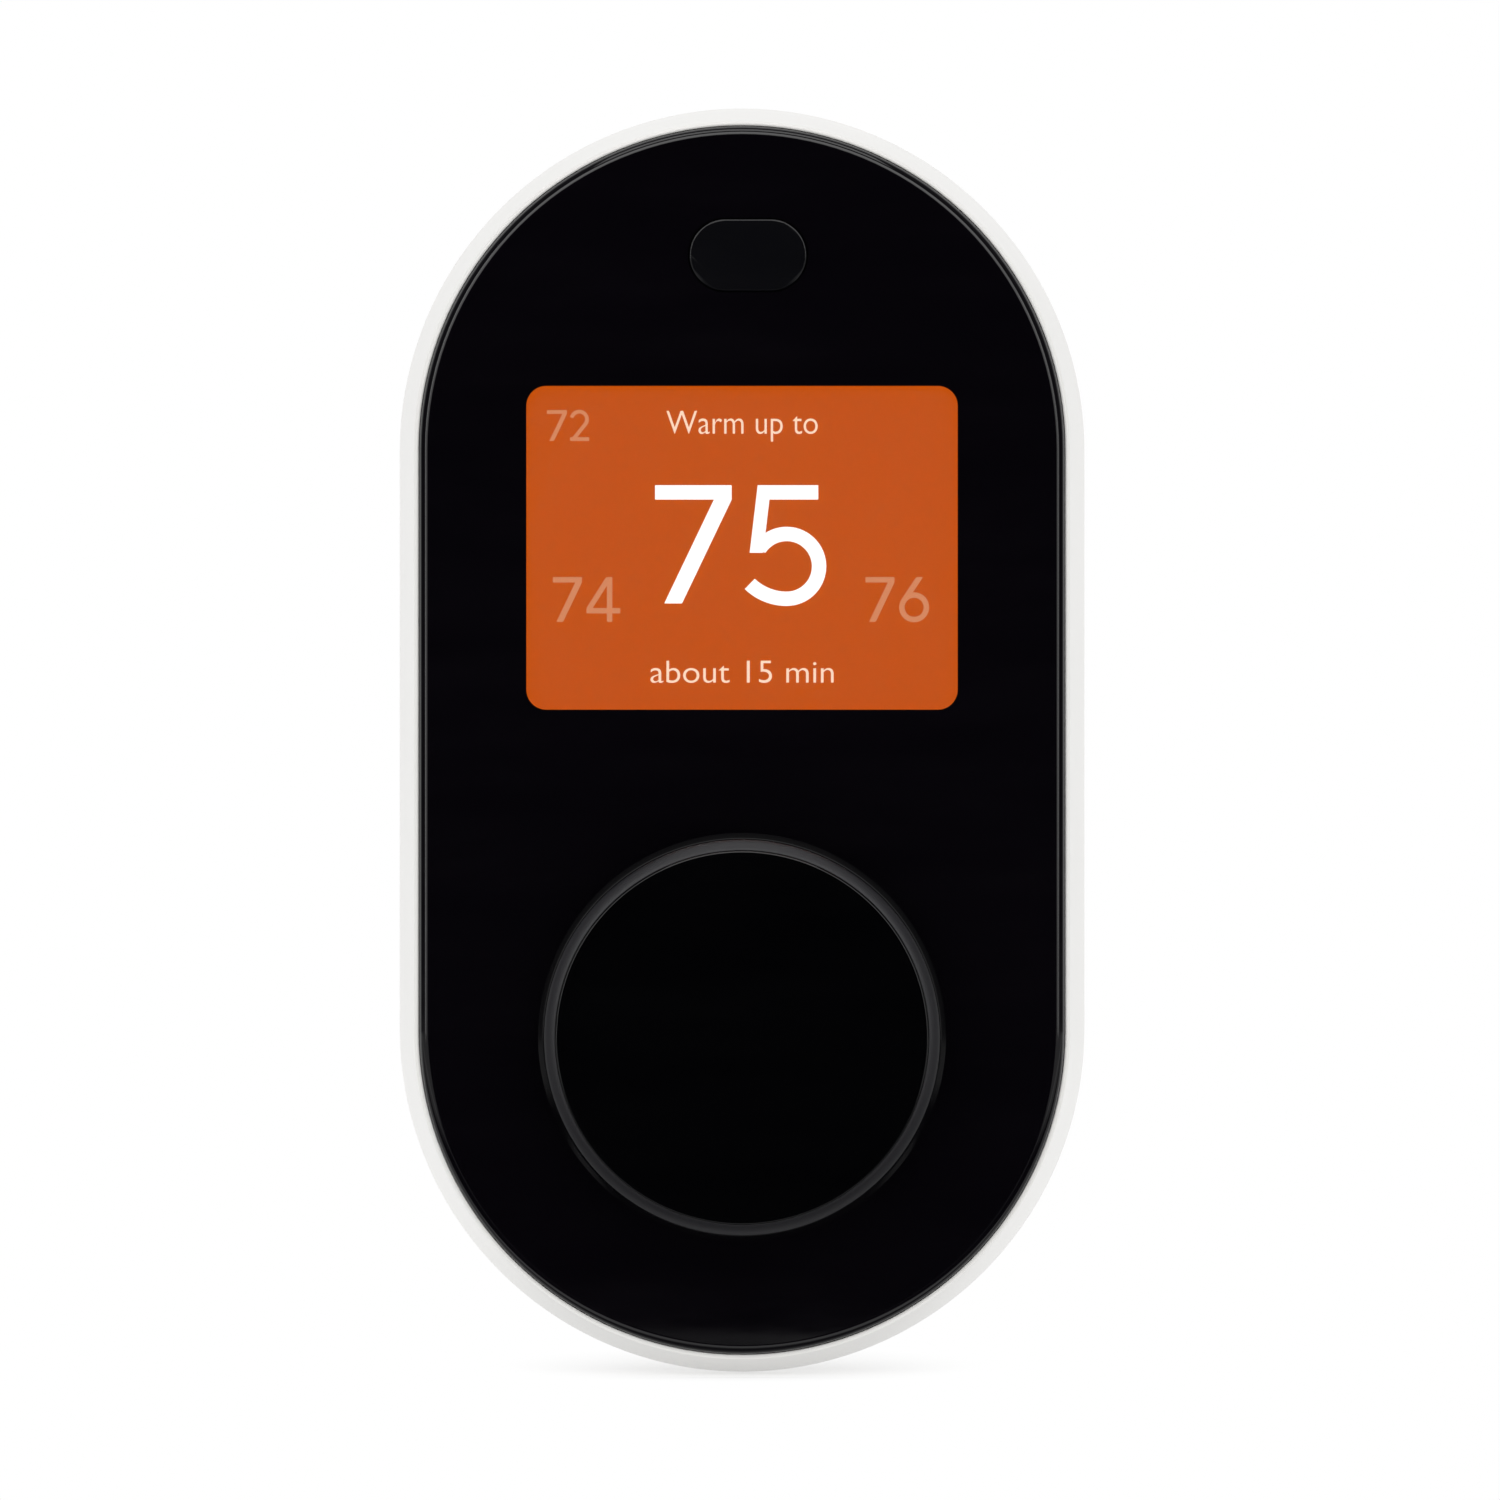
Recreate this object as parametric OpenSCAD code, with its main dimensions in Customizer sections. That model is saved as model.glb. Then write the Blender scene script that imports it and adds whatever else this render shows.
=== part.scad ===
// Wall thermostat: a wall base with push-tab terminals, and a display unit that pulls off it,
// with a knob that turns and presses. Millimetres, +Z up, the front faces -Y, the wall is y = 0.
// The origin is the point of the wall midway between the two wall screw holes.
// Every sub-part is drawn lying on its back (x to the right, y up the wall, z out of the wall)
// and is then stood up by the module "stand".

/* [Body] */
// Width of the housing at its back edge
body_w = 69.3; // [69:0.1:72]
// Height of the housing at its back edge
body_h = 127.8; // [126:0.1:134]
// Gap between the housing's back edge and the wall
wall_gap = 1; // [0.6:0.1:1.4]
// Height of the housing's front lip off the wall
lip_front = 26; // [25.8:0.1:26.3]
// Thickness of the housing's side wall
shell_t = 1.9; // [1.5:0.1:2.1]

/* [Front] */
// Half width of the front lens
lens_r = 32.4; // [32.2:0.05:32.5]
// Height of the lens's front face off the wall
lens_front = 27; // [26.6:0.1:27.2]
// Radius of the lens's front edge
lens_edge = 0.9; // [0.4:0.1:1.2]
// Width of the lit display area
screen_w = 43.3; // [40:0.1:43.4]
// Height of the lit display area
screen_h = 32.5; // [30:0.1:32.7]
// Corner radius of the lit display area
screen_r = 2; // [1:0.1:3]
// Height of the display's centre above the body's centre
screen_y = 19.3; // [19.1:0.1:19.4]
// Length of the motion sensor window
pir_w = 11.9; // [10:0.1:12]
// Height of the motion sensor window
pir_h = 7.3; // [6:0.1:7.5]
// Height of the motion sensor's centre above the body's centre
pir_y = 48.7; // [48.4:0.1:48.9]
// How far the motion sensor sits to the right of the middle
pir_x = 0.6; // [0:0.1:0.8]

/* [Knob] */
// Diameter of the knob at its base
knob_d = 41; // [39:0.1:41.4]
// Diameter of the glossy face disc
face_d = 37.4; // [35:0.1:37.6]
// Height of the knob's base off the wall
knob_back = 28.2; // [28:0.1:28.4]
// Height of the knob's face off the wall
knob_front = 35.2; // [34.8:0.1:37]
// Height of the knob's centre below the body's centre
knob_drop = 29.8; // [29.6:0.1:30]

/* [Wall base] */
// Distance between the two wall screw holes
screw_spacing = 83.3; // [82:0.1:84]
// Diameter of the wall screw holes
screw_hole_d = 4.4; // [3.6:0.1:5]
// Width of the wire opening
wire_w = 22; // [16:1:22]
// Height of the wire opening
wire_h = 26; // [20:1:26]
// Distance between neighbouring terminals
term_pitch = 5.1; // [5:0.1:5.2]

/* [Hidden] */
$fn = 96;

SIDES = [-1, 1];
eps = 0.05;
seam = 0.05;      // gap between pieces that are set into each other

// Heights off the wall of each layer, from the wall to the front
plate_top = 2;
skirt_top = 7.5;
base_board_back = 3.5;
base_board_top = base_board_back + 1.6;
block_top = 9.6;
tab_top = 10.7;
socket_top = 10.7;
cover_back = 11.3;
cover_top = 13.3;
board_back = 15;
board_top = board_back + 1.6;
carrier_back = 20.2;
carrier_top = 21.6;
web_back = 23.4;
ledge = 25;
lens_back = 25.2;

// Outline
back_r = body_w / 2;
end_y = (body_h - body_w) / 2;
lip_r = lens_r + 0.55;
draft = (back_r - lip_r) / (lip_front - wall_gap);
board_r = 28.5;
plate_r = 32.2;
skirt_r = 31.7;
cover_r = 31.4;

// Places of what is fastened
cover_boss = [16.5, 46.5];
board_posts = [[26.2, 30], [22, -38]];
carrier_post = [15, 21.9];
base_post = [24, 31];
arm_place = [28.6, 20];
board_hole_r = 1.2;
pilot_r = 1.05;

post_r = 1.9;
carrier_post_r = 2;
cover_boss_r = 2.8;

// Openings through the housing's web and the tape behind the lens
web_window = [48.2, 39.4];
pir_seat = [18, 13.4];
bushing_hole_r = 3.8;

// Display layers, behind the lens
panel_w = 46.6;
panel_h = 37.8;
panel_back = 23.2;
panel_front = 24.6;
frame_front = 24.8;
lit_w = 44;
lit_h = 33.4;

// Level
level_y = 51;
level_z = 5.3;
vial_r = 3;
vial_len = 24;
vial_wall = 0.7;

// Terminals
block_in = 13;
block_out = 25;
block_len = 5 * term_pitch + 1.7;
slot_x = [18.6, 22.8];
slot_half = 1.7;
chamber_top = 8.4;
tab_play = 0.3;

// Header of pins and sockets
pin_pitch = 2.54;
pin_count = 8;
header_y = 24;
pin_r = 0.35;

// Encoder and knob, as heights off the wall
body_top = 22.4;
bracket_top = 22.8;
rotor_top = 27.6;
bushing_top = 27.8;
shaft_foot = 18.5;
shaft_r = 2;
stem_r = 3;
flat_x = 1.4;
run_fit = 0.05;

function inner_r(z) = back_r - shell_t - draft * (z - wall_gap);
function pin_x(i) = (i - (pin_count - 1) / 2) * pin_pitch;

// ---- helpers ----

module stand() {
    rotate([90, 0, 0]) children();
}

// Follows the body's long outline; the children are the section, as distance from the
// outline's own centre line and height off the wall.
module around() {
    for (turn = [0, 180])
        rotate(turn) translate([0, end_y, 0]) rotate_extrude(angle = 180) children();
    for (side = [0, 1])
        mirror([side, 0, 0]) translate([0, end_y, 0]) rotate([90, 0, 0])
            linear_extrude(2 * end_y) children();
}

module section(r0, r1, z0, z1) {
    translate([r0, z0]) square([r1 - r0, z1 - z0]);
}

module at_corners(place) {
    for (sx = SIDES, sy = SIDES) translate([sx * place[0], sy * place[1], 0]) children();
}

module disc(r, z0, z1) {
    translate([0, 0, z0]) cylinder(r = r, h = z1 - z0);
}

module block(w, h, z0, z1) {
    translate([-w / 2, -h / 2, z0]) cube([w, h, z1 - z0]);
}

// A plate with round corners
module rounded(w, h, r, z0, z1) {
    block(w - 2 * r, h, z0, z1);
    block(w, h - 2 * r, z0, z1);
    at_corners([w / 2 - r, h / 2 - r]) disc(r, z0, z1);
}

// A pill lying along x
module pill(w, h, z0, z1) {
    block(w - h, h, z0, z1);
    for (s = SIDES) translate([s * (w - h) / 2, 0, 0]) disc(h / 2, z0, z1);
}

// A pan-head screw whose head's underside is at height 0 and whose shank points up
module screw(head_r, head_h, shank_r, length) {
    difference() {
        union() {
            disc(head_r, -head_h, 0);
            disc(shank_r, -eps, length);
        }
        for (turn = [0, 90])
            rotate(turn) block(head_r * 1.1, head_r * 0.26, -head_h - eps, -head_h / 2);
    }
}

// ---- wall base ----

// The vial's seats: two blocks with a round hollow
module vial_seats() {
    difference() {
        for (s = SIDES) translate([s * 8, level_y, 0]) block(2, 7, plate_top - eps, 5);
        vial_rod(vial_r + seam, vial_len + 6);
    }
}

module vial_rod(r, length) {
    translate([-length / 2, level_y, level_z]) rotate([0, 90, 0]) cylinder(r = r, h = length);
}

module wall_plate() {
    boss_r = 4.6;
    pry_w = 16;
    frame_w = 4;
    recess = 0.4;
    mark_r = 2;
    mark_depth = 0.2;
    marks = [[20, 46], [27, 12]];
    color("whitesmoke") stand() difference() {
        union() {
            around() section(0, plate_r, 0, plate_top);
            around() section(skirt_r - 1.4, skirt_r, plate_top - eps, skirt_top);
            for (s = SIDES) translate([0, s * screw_spacing / 2, 0]) disc(boss_r, 1, 3);
            at_corners(base_post) disc(2.6, 1, base_board_back);
            at_corners(arm_place) block(1.2, 8, 1, 12.9);
            vial_seats();
        }
        for (s = SIDES)
            translate([0, s * screw_spacing / 2, 0]) disc(screw_hole_d / 2, -1, 4);
        rounded(wire_w, wire_h, 2, -1, 4);
        rounded(wire_w + 2 * frame_w, wire_h + 2 * frame_w, 3, -1, recess);
        for (place = marks) at_corners(place) disc(mark_r, -1, mark_depth);
        at_corners(base_post) disc(pilot_r, 0.8, 4);
        translate([0, -end_y - skirt_r, 0]) block(pry_w, 6, 4.5, skirt_top + 1);
    }
}

module base_board() {
    color("darkgreen") stand() difference() {
        rounded(54, 68, 3, base_board_back, base_board_top);
        rounded(wire_w + 2, wire_h + 2, 2, base_board_back - 1, base_board_top + 1);
        at_corners(base_post) disc(board_hole_r, base_board_back - 1, base_board_top + 1);
    }
}

module base_board_screws() {
    color("silver") stand() at_corners(base_post) translate([0, 0, base_board_top])
        mirror([0, 0, 1]) screw(2.1, 1.1, 1, 3.6);
}

module at_terminals() {
    for (i = [0:4]) translate([0, term_y(i), 0]) children();
}

function term_y(i) = (2 - i) * term_pitch;

module terminal_block(side) {
    entry_r = 1;
    entry_z = 7.2;
    mid = (block_in + block_out) / 2;
    color("gainsboro") stand() scale([side, 1, 1]) difference() {
        translate([mid, 0, 0])
            block(block_out - block_in, block_len, base_board_top, block_top);
        at_terminals() {
            translate([block_in - 1, 0, entry_z]) rotate([0, 90, 0])
                cylinder(r = entry_r, h = 5, $fn = 48);
            translate([20, 0, 0]) block(7, 3.8, base_board_top - 1, chamber_top);
            translate([(slot_x[0] + slot_x[1]) / 2, 0, 0])
                block(slot_x[1] - slot_x[0], 2 * slot_half, chamber_top - eps, block_top + 1);
        }
    }
}

// Each contact is one bent strip: foot, riser and spring arm
module spring_contacts() {
    strip_w = 3;
    strip = [[17, 0], [23.3, 0], [23.3, 1.3], [17.2, 1.1], [17.2, 0.8], [23, 1], [23, 0.3],
        [17, 0.3]];
    color("goldenrod") stand() for (side = [0, 1]) mirror([side, 0, 0]) at_terminals()
        translate([0, strip_w / 2, base_board_top]) rotate([90, 0, 0])
            linear_extrude(strip_w) polygon(strip);
}

module terminal_tab(side, i) {
    head = slot_x[1] - slot_x[0] - 2 * tab_play;
    mid = (slot_x[0] + slot_x[1]) / 2;
    color("orange") stand() scale([side, 1, 1]) translate([mid, term_y(i), 0]) {
        block(head, 2 * (slot_half - tab_play), 8, tab_top);
        block(head + 1.2, 2 * (slot_half - tab_play), 7.6, chamber_top - 0.1);
    }
}

module at_pins() {
    for (s = SIDES, i = [0:pin_count - 1]) translate([pin_x(i), s * header_y, 0]) children();
}

module base_sockets() {
    color("dimgray") stand() difference() {
        for (s = SIDES) translate([0, s * header_y, 0])
            block(pin_count * pin_pitch + 0.6, 3, base_board_top, socket_top);
        at_pins() disc(0.75, base_board_top + 0.5, socket_top + 1, $fn = 48);
    }
}

module socket_contacts() {
    color("gold") stand() at_pins() difference() {
        disc(0.7, base_board_top + 0.5, socket_top - 0.3, $fn = 48);
        disc(pin_r + 0.07, base_board_top + 0.4, socket_top, $fn = 48);
    }
}

module level_vial() {
    color("lightcyan") stand() difference() {
        vial_rod(vial_r, vial_len);
        vial_rod(vial_r - vial_wall, vial_len - 3);
    }
}

module level_fluid() {
    color("yellowgreen") stand() difference() {
        vial_rod(vial_r - vial_wall - seam, vial_len - 3.1);
        translate([0, level_y, level_z + 0.7]) scale(1.3) sphere(r = 1, $fn = 48);
    }
}

// ---- display unit: casings and front ----

module housing() {
    edge = 0.35;
    color("white") stand() difference() {
        union() {
            around() polygon([[back_r - edge, wall_gap], [back_r, wall_gap + edge],
                [lip_r, lip_front - edge], [lip_r - edge, lip_front],
                [lens_r + seam, lip_front], [lens_r + seam, ledge], [0, ledge],
                [0, web_back], [inner_r(web_back), web_back], [inner_r(wall_gap), wall_gap]]);
            at_corners(cover_boss) disc(cover_boss_r, cover_top, web_back + eps);
            for (p = board_posts, s = SIDES)
                translate([s * p[0], p[1], 0]) disc(post_r, board_top, web_back + eps);
            translate([0, screen_y, 0]) at_corners(carrier_post)
                disc(carrier_post_r, carrier_top, web_back + eps);
        }
        at_corners(cover_boss) disc(pilot_r, cover_top - 1, 19.5);
        for (p = board_posts, s = SIDES)
            translate([s * p[0], p[1], 0]) disc(pilot_r, board_top - 1, 20.5);
        translate([0, screen_y, 0]) {
            at_corners(carrier_post) disc(pilot_r, carrier_top - 1, 23.6);
            block(web_window[0], web_window[1], web_back - 1, ledge + 1);
        }
        translate([0, -knob_drop, 0]) disc(bushing_hole_r, web_back - 1, ledge + 1);
        translate([pir_x, pir_y, 0]) pill(pir_seat[0], pir_seat[1], web_back - 1, ledge + 1);
    }
}

module rear_cover() {
    rib_h = 1.2;
    color("gainsboro") stand() difference() {
        union() {
            around() section(0, cover_r, cover_back, cover_top);
            around() section(29.6, 30.8, cover_top - eps, cover_top + rib_h);
        }
        at_corners(cover_boss) {
            disc(1.3, cover_back - 1, cover_top + 1);
            disc(2.4, cover_back - 1, cover_back + 1.2);
        }
        for (s = SIDES) translate([0, s * header_y, 0])
            block(pin_count * pin_pitch + 2, 4.4, cover_back - 1, cover_top + 1);
        at_corners(arm_place) block(1.8, 8.6, cover_back - 1, cover_top + 2);
        for (s = SIDES, i = [-3:3]) translate([3.2 * i, s * 54, 0])
            block(1.4, 5, cover_back - 1, cover_top + 1);
    }
}

module rear_cover_screws() {
    color("silver") stand() at_corners(cover_boss) translate([0, 0, cover_back + 1.2])
        screw(2.2, 1.1, 1, 6.5);
}

// The lens is a plate with a round front edge and three openings
module front_lens() {
    color("black") stand() difference() {
        around() {
            section(0, lens_r, lens_back, lens_front - lens_edge);
            section(0, lens_r - lens_edge, lens_back, lens_front);
            intersection() {
                translate([lens_r - lens_edge, lens_front - lens_edge]) circle(r = lens_edge);
                section(lens_r - lens_edge - eps, lens_r + 1, lens_front - lens_edge - eps,
                    lens_front + 1);
            }
        }
        translate([0, screen_y, 0])
            rounded(screen_w, screen_h, screen_r, lens_back - 1, lens_front + 1);
        translate([pir_x, pir_y, 0]) pill(pir_w + 4 * seam, pir_h + 4 * seam, lens_back - 1,
            lens_front + 1);
        translate([0, -knob_drop, 0]) disc(7.5, lens_back - 1, lens_front + 1);
    }
}

module display_window() {
    color("orangered", 0.5) stand() translate([0, screen_y, 0])
        rounded(screen_w - seam, screen_h - seam, screen_r - seam / 2, lens_back, lens_front);
}

module lens_tape() {
    knob_clear_r = 16;
    tape_r = 31.9;
    color("dimgray") stand() difference() {
        around() section(0, tape_r, ledge, lens_back);
        translate([0, screen_y, 0])
            block(web_window[0] + 0.8, web_window[1] + 0.8, ledge - 1, lens_back + 1);
        translate([pir_x, pir_y, 0]) pill(pir_seat[0], pir_seat[1], ledge - 1, lens_back + 1);
        translate([0, -knob_drop, 0]) disc(knob_clear_r, ledge - 1, lens_back + 1);
    }
}

// ---- display ----

module display_panel() {
    color("orange") stand() translate([0, screen_y, 0])
        block(panel_w, panel_h, panel_back, panel_front);
}

module backlight() {
    color("white") stand() translate([0, screen_y, 0])
        block(panel_w, panel_h, carrier_top + 0.3, panel_back - seam);
}

module display_frame() {
    color("silver") stand() translate([0, screen_y, 0]) difference() {
        block(panel_w + 0.8, panel_h + 0.8, carrier_top, frame_front);
        block(panel_w + 0.1, panel_h + 0.1, carrier_top + 0.3, panel_front + seam);
        block(lit_w, lit_h, panel_front - 1, frame_front + 1);
    }
}

module display_gasket() {
    color("black") stand() translate([0, screen_y, 0]) difference() {
        block(panel_w + 0.4, panel_h + 0.4, frame_front, lens_back);
        block(lit_w + 0.2, lit_h + 0.2, frame_front - 1, lens_back + 1);
    }
}

module display_carrier() {
    color("dimgray") stand() translate([0, screen_y, 0]) difference() {
        union() {
            rounded(47, 47, 2, carrier_back, carrier_top);
            for (s = SIDES) translate([s * 12, 0, 0]) block(1.2, 34, carrier_back - 0.6, 21);
        }
        at_corners(carrier_post) disc(board_hole_r, 19, 22);
        translate([0, -21.4, 0]) block(22, 2.6, 19, 22);
        for (s = SIDES) translate([s * 6, 2, 0]) block(8, 24, 19, 22);
    }
}

module carrier_screws() {
    color("silver") stand() translate([0, screen_y, 0]) at_corners(carrier_post)
        translate([0, 0, carrier_back]) screw(1.9, 0.9, 1, 3.2);
}

// The ribbon leaves the display's lower edge, goes down through the carrier and forward
module display_ribbon() {
    film = 0.15;
    top = [-2.1, 22.3];
    foot = [-7, 17.7];
    color("darkorange") stand() translate([10, 0, 0]) rotate([90, 0, -90])
        linear_extrude(20) {
            translate([0.25, top[1] - film]) square([-top[0] - 0.25, film]);
            translate([-top[0] - film, foot[1]]) square([film, top[1] - foot[1]]);
            translate([-top[0] - film, foot[1]]) square([top[0] - foot[0] + film, film]);
        }
}

module ribbon_connector() {
    color("ivory") stand() translate([0, -8.4, 0]) difference() {
        block(24, 4.4, board_top, 18.4);
        translate([0, 1, 0]) block(20.6, 3.2, 17.5, 18);
    }
}

// ---- electronics of the display unit ----

module main_board() {
    color("seagreen") stand() difference() {
        around() section(0, board_r, board_back, board_top);
        at_corners(cover_boss) disc(3.3, board_back - 1, board_top + 1);
        for (p = board_posts, s = SIDES)
            translate([s * p[0], p[1], 0]) disc(board_hole_r, board_back - 1, board_top + 1);
    }
}

module board_screws() {
    color("silver") stand() for (p = board_posts, s = SIDES)
        translate([s * p[0], p[1], board_back]) screw(1.9, 1, 1, 5);
}

module wifi_board() {
    color("darkgreen") stand() translate([12, 25, 0]) block(16, 22, board_top, 17.4);
}

module wifi_shield() {
    color("silver") stand() translate([12, 23, 0]) difference() {
        block(14, 15, 17.4, 19.3);
        block(13.6, 14.6, 17, 19.1);
    }
}

module processor_chip() {
    color("black") stand() translate([-10, 20, 0]) block(12, 12, board_top, 17.9);
}

// Three relays stand in a column on each side of the encoder
module relays() {
    color("black") stand() for (s = SIDES, i = [0:2]) translate([s * 14.5, -16 - 9 * i, 0])
        block(10, 7.4, board_top, 22);
}

module capacitors() {
    color("slategray") stand() for (s = SIDES) translate([s * 8.6, -46.5, 0]) {
        block(6.6, 6.6, board_top, 17.4);
        disc(3.15, 17.3, 22.4);
    }
}

module inductor() {
    color("darkslategray") stand() translate([0, -14, 0]) {
        block(7.2, 5, board_top, 17.2);
        disc(2.4, 17.1, 20);
    }
}

module pin_headers() {
    color("black") stand() difference() {
        for (s = SIDES) translate([0, s * header_y, 0])
            block(pin_count * pin_pitch, 2.5, 12.8, board_back);
        at_pins() disc(pin_r + seam, 12, board_back + 1, $fn = 48);
    }
}

module header_pins() {
    color("gold") stand() at_pins() {
        disc(pin_r, 6.7, board_back, $fn = 48);
        translate([0, 0, 6.4]) cylinder(r1 = pin_r / 2, r2 = pin_r, h = 0.3, $fn = 48);
    }
}

module pir_window() {
    color("black") stand() translate([pir_x, pir_y, 0]) {
        pill(pir_w, pir_h, lens_back - eps, lens_front - 0.02);
        pill(14.4, 9.8, 24.6, lens_back);
    }
}

module pir_sensor() {
    lead = 1.8;
    color("silver") stand() translate([pir_x, pir_y, 0]) {
        disc(4.6, 17.8, 18.4);
        disc(4.1, 18.3, 22.4);
        for (turn = [0, 90, 180]) rotate(turn) translate([lead, 0, 0])
            disc(0.25, board_top, 17.9, $fn = 24);
    }
}

module pir_holder() {
    color("dimgray") stand() translate([pir_x, pir_y, 0]) difference() {
        disc(5.5, board_top, 24.5);
        disc(4.75, board_top - 1, 25);
    }
}

module temperature_sensor() {
    color("maroon") stand() translate([0, -53.5, 0]) {
        translate([0, 0, 19.4]) sphere(r = 1.1, $fn = 48);
        for (s = SIDES) translate([s * 0.6, 0, 0]) disc(0.2, board_top, 19, $fn = 48);
    }
}

// A foam wall keeps the board's warmth from the sensor
module sensor_barrier() {
    color("gray") stand() translate([0, -53.5, 0]) difference() {
        block(13, 5.6, board_top, web_back);
        translate([0, -1.5, 0]) block(9, 5.6, board_top - 1, web_back + 1);
    }
}

// ---- encoder and knob ----

module at_knob() {
    stand() translate([0, -knob_drop, 0]) children();
}

module encoder_body() {
    color("darkslategray") at_knob() difference() {
        block(12, 13, board_top, body_top);
        disc(3.7, 17, 19.3);
        disc(5, 19.2, 20.6);
        disc(3.2, 20.5, body_top + 1);
    }
}

module encoder_bracket() {
    color("silver") at_knob() difference() {
        block(13, 13, board_top, bracket_top);
        block(12.1, 14, board_top - 1, body_top);
        disc(3.2, body_top - 1, bracket_top + 1);
    }
}

module encoder_bushing() {
    color("lightgray") at_knob() difference() {
        union() {
            disc(4.6, bracket_top, web_back);
            disc(3.5, web_back - eps, bushing_top);
        }
        disc(stem_r, bracket_top - 1, bushing_top + 1);
    }
}

module encoder_nut() {
    color("silver") at_knob() difference() {
        translate([0, 0, ledge]) cylinder(r = 6, h = 1.8, $fn = 6);
        disc(3.55, ledge - 1, ledge + 3);
    }
}

// A thin sprung disc that the shaft clicks
module switch_dome() {
    color("silver") at_knob() translate([0, 0, 17.1]) rotate_extrude()
        polygon([[0, 1.2], [1.4, 1.05], [2.6, 0.6], [3.4, 0], [3.4, 0.2], [2.7, 0.8],
            [1.45, 1.25], [0, 1.4]]);
}

// A shaft section: a round with one flat
module d_rod(r, flat, z0, z1) {
    intersection() {
        disc(r, z0, z1);
        translate([flat - 2 * r, -r * 2, z0 - 1]) cube([2 * r, 4 * r, z1 - z0 + 2]);
    }
}

module encoder_rotor() {
    color("beige") at_knob() difference() {
        union() {
            disc(4.6, 19.4, 20.4);
            disc(stem_r - run_fit, 20.3, rotor_top);
        }
        d_rod(shaft_r + run_fit, flat_x + run_fit, 18, rotor_top + 1);
    }
}

module encoder_shaft() {
    color("silver") at_knob() {
        d_rod(shaft_r, flat_x, shaft_foot, 28.9);
        d_rod(stem_r, flat_x, 28.8, 32.2);
    }
}

module knob_body() {
    knob_r = knob_d / 2;
    rim_r = knob_r - 0.55;
    face_back = knob_front - 0.9;
    color([0.16, 0.16, 0.17]) at_knob() difference() {
        union() {
            rotate_extrude() difference() {
                polygon([[0, face_back], [face_d / 2 + seam, face_back],
                    [face_d / 2 + seam, knob_front - 0.2], [rim_r - 0.8, knob_front - 0.25],
                    [rim_r - 0.25, knob_front - 0.6], [rim_r, knob_front - 1.1],
                    [knob_r, knob_back + 0.3], [knob_r - 0.3, knob_back],
                    [0, knob_back]]);
                translate([-1, knob_back - 1]) square([knob_r - 2 + 1, 5]);
            }
            disc(5, 29.4, face_back - eps);
            for (turn = [0:60:300]) rotate(turn) translate([4.5, -0.5, 29.8])
                cube([knob_r - 2 - 4.4, 1, 3]);
        }
        d_rod(stem_r + 0.02, flat_x + 0.4, 28, 32.3);
    }
}

module knob_face() {
    color("black") at_knob() disc(face_d / 2, knob_front - 0.9, knob_front);
}

// A leaf spring between the shaft's flat and the knob's bore
module shaft_clip() {
    color("silver") at_knob() translate([flat_x + 0.05, -1.8, 29.4]) cube([0.3, 3.6, 2.6]);
}

wall_plate();
base_board();
base_board_screws();
terminal_block(-1);  // terminal_block_left
terminal_block(1);  // terminal_block_right
spring_contacts();
base_sockets();
socket_contacts();
level_vial();
level_fluid();
for (i = [0:4]) terminal_tab(-1, i);
for (i = [0:4]) terminal_tab(1, i);
housing();
rear_cover();
rear_cover_screws();
main_board();
board_screws();
wifi_board();
wifi_shield();
processor_chip();
relays();
capacitors();
inductor();
pin_headers();
header_pins();
front_lens();
display_window();
lens_tape();
display_panel();
backlight();
display_frame();
display_gasket();
display_carrier();
carrier_screws();
display_ribbon();
ribbon_connector();
pir_window();
pir_sensor();
pir_holder();
temperature_sensor();
sensor_barrier();
encoder_body();
encoder_bracket();
encoder_bushing();
encoder_nut();
switch_dome();
encoder_rotor();
encoder_shaft();
knob_body();
knob_face();
shaft_clip();
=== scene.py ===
import math

import bmesh
import bpy
from mathutils import Matrix, Vector


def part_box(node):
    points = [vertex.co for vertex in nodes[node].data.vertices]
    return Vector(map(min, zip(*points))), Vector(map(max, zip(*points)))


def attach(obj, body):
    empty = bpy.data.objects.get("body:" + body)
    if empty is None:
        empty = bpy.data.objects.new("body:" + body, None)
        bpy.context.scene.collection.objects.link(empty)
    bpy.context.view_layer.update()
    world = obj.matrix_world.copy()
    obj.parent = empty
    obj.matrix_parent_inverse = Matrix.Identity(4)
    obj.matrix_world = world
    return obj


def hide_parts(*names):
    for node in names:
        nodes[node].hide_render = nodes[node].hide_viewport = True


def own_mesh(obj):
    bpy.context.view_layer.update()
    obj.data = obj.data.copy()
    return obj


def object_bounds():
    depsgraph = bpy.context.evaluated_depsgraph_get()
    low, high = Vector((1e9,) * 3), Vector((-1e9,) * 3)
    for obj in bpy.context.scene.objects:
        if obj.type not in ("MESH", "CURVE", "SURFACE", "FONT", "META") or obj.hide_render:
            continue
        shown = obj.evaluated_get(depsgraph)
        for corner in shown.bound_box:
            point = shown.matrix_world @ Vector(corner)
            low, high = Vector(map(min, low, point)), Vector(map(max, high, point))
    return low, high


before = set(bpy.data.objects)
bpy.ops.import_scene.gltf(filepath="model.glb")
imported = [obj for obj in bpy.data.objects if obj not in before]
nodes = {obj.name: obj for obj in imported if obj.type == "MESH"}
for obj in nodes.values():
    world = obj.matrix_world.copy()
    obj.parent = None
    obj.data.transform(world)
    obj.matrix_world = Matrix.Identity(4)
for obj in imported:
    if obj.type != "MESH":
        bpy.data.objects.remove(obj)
scene = bpy.context.scene
cad_low, cad_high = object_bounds()


# Camera
# A long portrait lens stands straight in front, level with the middle of the body, so that the
# outline shows with almost no perspective.

CAMERA_FAR = 3.5
VIEW_WIDTH = 0.15175
VIEW_SHIFT_X, VIEW_SHIFT_Z = 0.0008, -0.0010

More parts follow.
